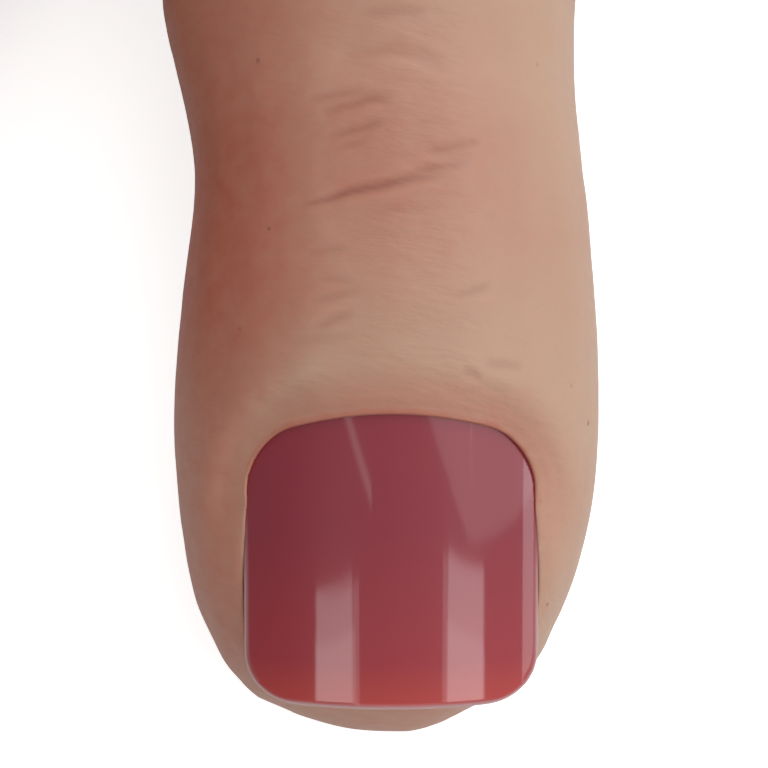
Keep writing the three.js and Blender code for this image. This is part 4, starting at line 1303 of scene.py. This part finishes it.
def plastic(name, colour, roughness):
    """Moulded plastic, very slightly uneven in its gloss."""
    material, tree, shader = new_finish(name)
    where = add(tree, "ShaderNodeTexCoord", "Object", {})
    grain = add(tree, "ShaderNodeTexNoise", "Fac",
                {"Vector": where, "Scale": 1 / (GRAIN_WIDTH * MM), "Detail": 2})
    bump = add(tree, "ShaderNodeBump", "Normal",
               {"Height": grain, "Strength": 0.25, "Distance": MOULD_RELIEF_DEPTH * MM})
    gloss = add(tree, "ShaderNodeMapRange", "Result",
                {"Value": grain, "From Min": 0.3, "From Max": 0.7, "To Min": roughness - GLOSS_UNEVEN,
                 "To Max": roughness + GLOSS_UNEVEN})
    put(tree, shader, {"Base Color": linear(colour), "Normal": bump, "Roughness": gloss})
    return material


def zinc():
    """Bright zinc plate on turned steel: a metal's sharp shine, slightly clouded by the plating."""
    material, tree, shader = new_finish("zinc_steel")
    where = add(tree, "ShaderNodeTexCoord", "Object", {})
    grain = add(tree, "ShaderNodeTexNoise", "Fac",
                {"Vector": where, "Scale": 1 / (PLATING_GRAIN * MM), "Detail": 3})
    gloss = add(tree, "ShaderNodeMapRange", "Result",
                {"Value": grain, "From Min": 0.3, "From Max": 0.7, "To Min": 0.22, "To Max": 0.36})
    put(tree, shader, {"Base Color": linear("#bcbcbf"), "Metallic": 1.0, "Roughness": gloss})
    return material


skin_finish, nail_finish, steel_finish = silicone(), lacquer(), zinc()
cap_finish = plastic("cap_plastic", "#c9a793", 0.5)
core_finish = plastic("core_plastic", "#e0dcd2", 0.55)
bone_finish = plastic("bone_plastic", "#e6e1d6", 0.5)


def dress(obj, finish):
    """Give a piece its material."""
    obj.data.materials.clear()
    obj.data.materials.append(finish)


for part in skins.values():
    dress(part, skin_finish)
for plate in nails.values():
    dress(plate, nail_finish)
dress(lid, cap_finish)
for head in heads:
    dress(head, steel_finish)
inside = {"foot_core": core_finish}
for name in TOES:
    inside.update({f"{name}_base_bone": bone_finish, f"{name}_tip_bone": bone_finish,
                   f"{name}_base_pin": steel_finish, f"{name}_tip_pin": steel_finish})
for node, finish in inside.items():
    for place in frame["nodes"][node].material_slots:
        place.material = finish
print("finishes", len(bpy.data.materials))

# %% [markdown]
# Now the foot's skin, the cap, the screws and the nails are tied to the bodies that carry them. The foot,
# the cap and the screws stay with the foot, and each nail rides on the body that slides out of the slot.
# A toe's rear and front skins only have their places baked into their points.

# %% Tie the pieces to the bodies
ROOT_BEND_AFTER_CUT = 0.1
KNUCKLE_BEND_AFTER_CUT = 0.2

body_of = {node: body for body, nodes in frame["record"]["behaviour"]["bodies"].items() for node in nodes}
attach(skins["foot_skin_cast"], body_of["foot_skin"])
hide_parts("foot_skin")
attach(lid, body_of["ankle_cap"])
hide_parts("ankle_cap")
for head, node in zip(heads, SCREWS):
    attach(head, body_of[node])
    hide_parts(node)
for name, cut in cuts.items():
    foot, base, tip = (body_of[node] for node in ("foot_core", f"{name}_base_bone", f"{name}_tip_bone"))
    start = cut.place(cut.root) + ROOT_BEND_AFTER_CUT * cut.ahead
    end = start + cut.run * cut.ahead
    rear = skins[f"{name}_back_skin"]
    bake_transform(rear)
    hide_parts(f"{name}_root_skin", f"{name}_base_skin")
    start, end = cut.place(cut.middle + KNUCKLE_BEND_AFTER_CUT), cut.place(cut.last)
    front = skins[f"{name}_front_skin"]
    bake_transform(front)
    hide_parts(f"{name}_knuckle_skin", f"{name}_tip_skin")
    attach(nails[name], body_of[f"{name}_nail"])
    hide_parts(f"{name}_nail")
print("bodies used", sorted(set(body_of.values())))

# %% [markdown]
# The picture is taken from almost straight above the big toe, with a long lens. The camera is set out
# in the big toe's own frame, looking back down past its tip.

# %% Set up the camera
CAMERA_PLACE = (50.9, -0.4, 137.2)
CAMERA_RAISED = 81
CAMERA_LENS = 100
CAMERA_SENSOR = 36
NEAR_CLIP = 5

big = toes["big_toe"]
slope = math.radians(CAMERA_RAISED)
towards_camera = Vector(big.ahead * math.cos(slope) + np.array([0, 0, math.sin(slope)]))
towards_heel = Vector(-big.ahead * math.sin(slope) + np.array([0, 0, math.cos(slope)]))
lens = bpy.data.cameras.new("camera")
lens.lens = CAMERA_LENS
lens.sensor_width = CAMERA_SENSOR
lens.clip_start = NEAR_CLIP * MM
camera = bpy.data.objects.new("camera", lens)
bpy.context.collection.objects.link(camera)
right = towards_heel.cross(towards_camera)
camera.matrix_world = Matrix([right, towards_heel, towards_camera]).transposed().to_4x4()
camera_spot = Vector(big.from_toe(np.array([CAMERA_PLACE]))[0]) * MM
camera.location = camera_spot
bpy.context.scene.camera = camera
print("camera", [round(part, 4) for part in camera.location])

# %% [markdown]
# The nail mirrors two tall softboxes. Where they stand follows from the mirror's law: a ray goes from
# the camera to the nail and off it to the lamp. So each lamp is set out by the patch of nail that it
# should light, and its size and place follow. Each tall softbox has a bright core low down and a dim
# spill round it, as a real one has, and panels above give the broad pale sheen of the nail's back. A
# large key softbox above the heel lights the skin. The surroundings are a dim grey, and darker on the
# side of the web, where a dark wall would stand.

# %% Set up the lamps
LAMP_AWAY = 400
SKY_LEVEL = 0.52
WALL_LEVEL = 0.24
WALL_ENDS = (-0.95, 0.1)
NAIL_STEP = 0.01
NAIL_MIDDLE = (44, 0, 15)
KEY_AWAY = (0.2, 0.26, 0.46)
KEY_SIDE = 0.5
KEY_RADIANCE = 1.7
LAMPS = [
    ("left_softbox", (-4.2, 6.8), (-2.2, 7.9), -50, 1.5),
    ("left_spill", (-4.3, 6.6), (-1.8, 7.6), -50, 1.2),
    ("left_core", (-4.3, 3.6), (-2.0, 4.8), -40, 1.0),
    ("right_softbox", (3.2, 9.2), (5.2, 8.0), -55, 2.0),
    ("right_spill", (2.9, 9.0), (5.3, 7.8), -55, 1.2),
    ("right_core", (3.1, 5.2), (5.3, 4.2), -40, 1.0),
    ("rim_softbox", (7.5, 15), (8.5, 15), -70, 2.2),
    ("high_softbox", (1.2, 19.6), (4.44, 9.4), 90, 1.0),
    ("side_softbox", (4.44, 9.4), (8.3, 12.4), 90, 1.0),
    ("stick_lamp", (-2.7, 17), (-1.1, 11.6), 5, 1.5),
]
nail_middle = Vector(big.from_toe(np.array([NAIL_MIDDLE], float))[0]) * MM


def mirrored(across, back):
    """A place on the big nail, in metres, and the direction in which a ray from the camera leaves it."""
    plan = plans["big_toe"]
    grid = np.array([[across, back], [across + NAIL_STEP, back], [across, back + NAIL_STEP]])
    nail = np.column_stack([grid, plan.top(grid[:, 0])])
    spots = [Vector(spot) * MM for spot in big.from_toe(big.from_nail(nail))]
    normal = (spots[1] - spots[0]).cross(spots[2] - spots[0]).normalized()
    normal = normal if normal.z > 0 else -normal
    ray = (spots[0] - camera_spot).normalized()
    return spots[0], ray - 2 * ray.dot(normal) * normal


def lamp_at(name, middle, aside, target, wide, high, radiance):
    """A softbox at a place, level with a sideways direction, that faces a target."""
    data = bpy.data.lights.new(name, "AREA")
    data.shape = "RECTANGLE"
    data.size, data.size_y = wide, high
    data.energy = radiance * math.pi * wide * high
    lamp = bpy.data.objects.new(name, data)
    bpy.context.collection.objects.link(lamp)
    away = (middle - target).normalized()
    level = (aside - aside.dot(away) * away).normalized()
    lamp.matrix_world = Matrix([level, away.cross(level), away]).transposed().to_4x4()
    lamp.location = middle


def softbox(name, left, right, reach, radiance):
    """A lamp with one edge mirrored between two places of the big nail, and a reach from there."""
    ends = []
    for across, back in (left, right, (left[0], left[1] + 1)):
        place, ray = mirrored(across, back)
        ends.append(place + ray * LAMP_AWAY * MM)
    first, second, behind = ends
    edge = second - first
    rise = (behind - first) - (behind - first).project(edge)
    middle = (first + second) / 2 + rise.normalized() * reach / 2 * MM
    lamp_at(name, middle, edge, nail_middle, edge.length, abs(reach) * MM, radiance)


for lamp in LAMPS:
    softbox(*lamp)
key_spot = nail_middle + Vector(KEY_AWAY)
lamp_at("key_softbox", key_spot, Vector((0, 1, 0)), nail_middle, KEY_SIDE, KEY_SIDE, KEY_RADIANCE)
sky = bpy.data.worlds.new("studio")
sky.use_nodes = True
tree = sky.node_tree
where = add(tree, "ShaderNodeTexCoord", "Generated", {})
across = add(tree, "ShaderNodeVectorMath", "Value", {0: where, 1: big.side}, operation="DOT_PRODUCT")
level = add(tree, "ShaderNodeMapRange", "Result",
            {"Value": across, "From Min": WALL_ENDS[0], "From Max": WALL_ENDS[1], "To Min": WALL_LEVEL,
             "To Max": SKY_LEVEL})
seen = add(tree, "ShaderNodeLightPath", "Is Camera Ray", {})
strength = add(tree, "ShaderNodeMapRange", "Result", {"Value": seen, "To Min": level, "To Max": 1})
put(tree, tree.nodes["Background"], {"Color": linear("#ffffff"), "Strength": strength})
bpy.context.scene.world = sky
print("lamps", len(LAMPS) + 1)

# %% [markdown]
# The floor is a matt white board that takes the foot's own soft shadow. The camera sees it a little
# brighter than it is lit, so that it is pure white away from the foot.

# %% Lay the floor
FLOOR_LIFT = 0.7
FLOOR_SIDE = 6
FLOOR_BELOW = 0.05

bpy.ops.mesh.primitive_plane_add(size=FLOOR_SIDE, location=(0, 0, -FLOOR_BELOW * MM))
floor = bpy.context.object
floor.name = "white_floor"
floor_finish, tree, shader = new_finish("white_floor")
seen = add(tree, "ShaderNodeLightPath", "Is Camera Ray", {})
lift = add(tree, "ShaderNodeMath", "Value", {0: seen, 1: FLOOR_LIFT}, operation="MULTIPLY")
put(tree, shader, {"Base Color": linear("#e7e7e7"), "Roughness": 0.9, "Emission Color": linear("#ffffff"),
                   "Emission Strength": lift})
floor.data.materials.append(floor_finish)
floor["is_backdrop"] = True
bpy.context.scene.view_settings.view_transform = "Standard"
print("floor side in metres", FLOOR_SIDE)

# %% [markdown]
# The box of the visual model, without the floor, is measured. The visual model has to stay inside
# the solids' box.

# %% Measure the visual model's box
low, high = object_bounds()
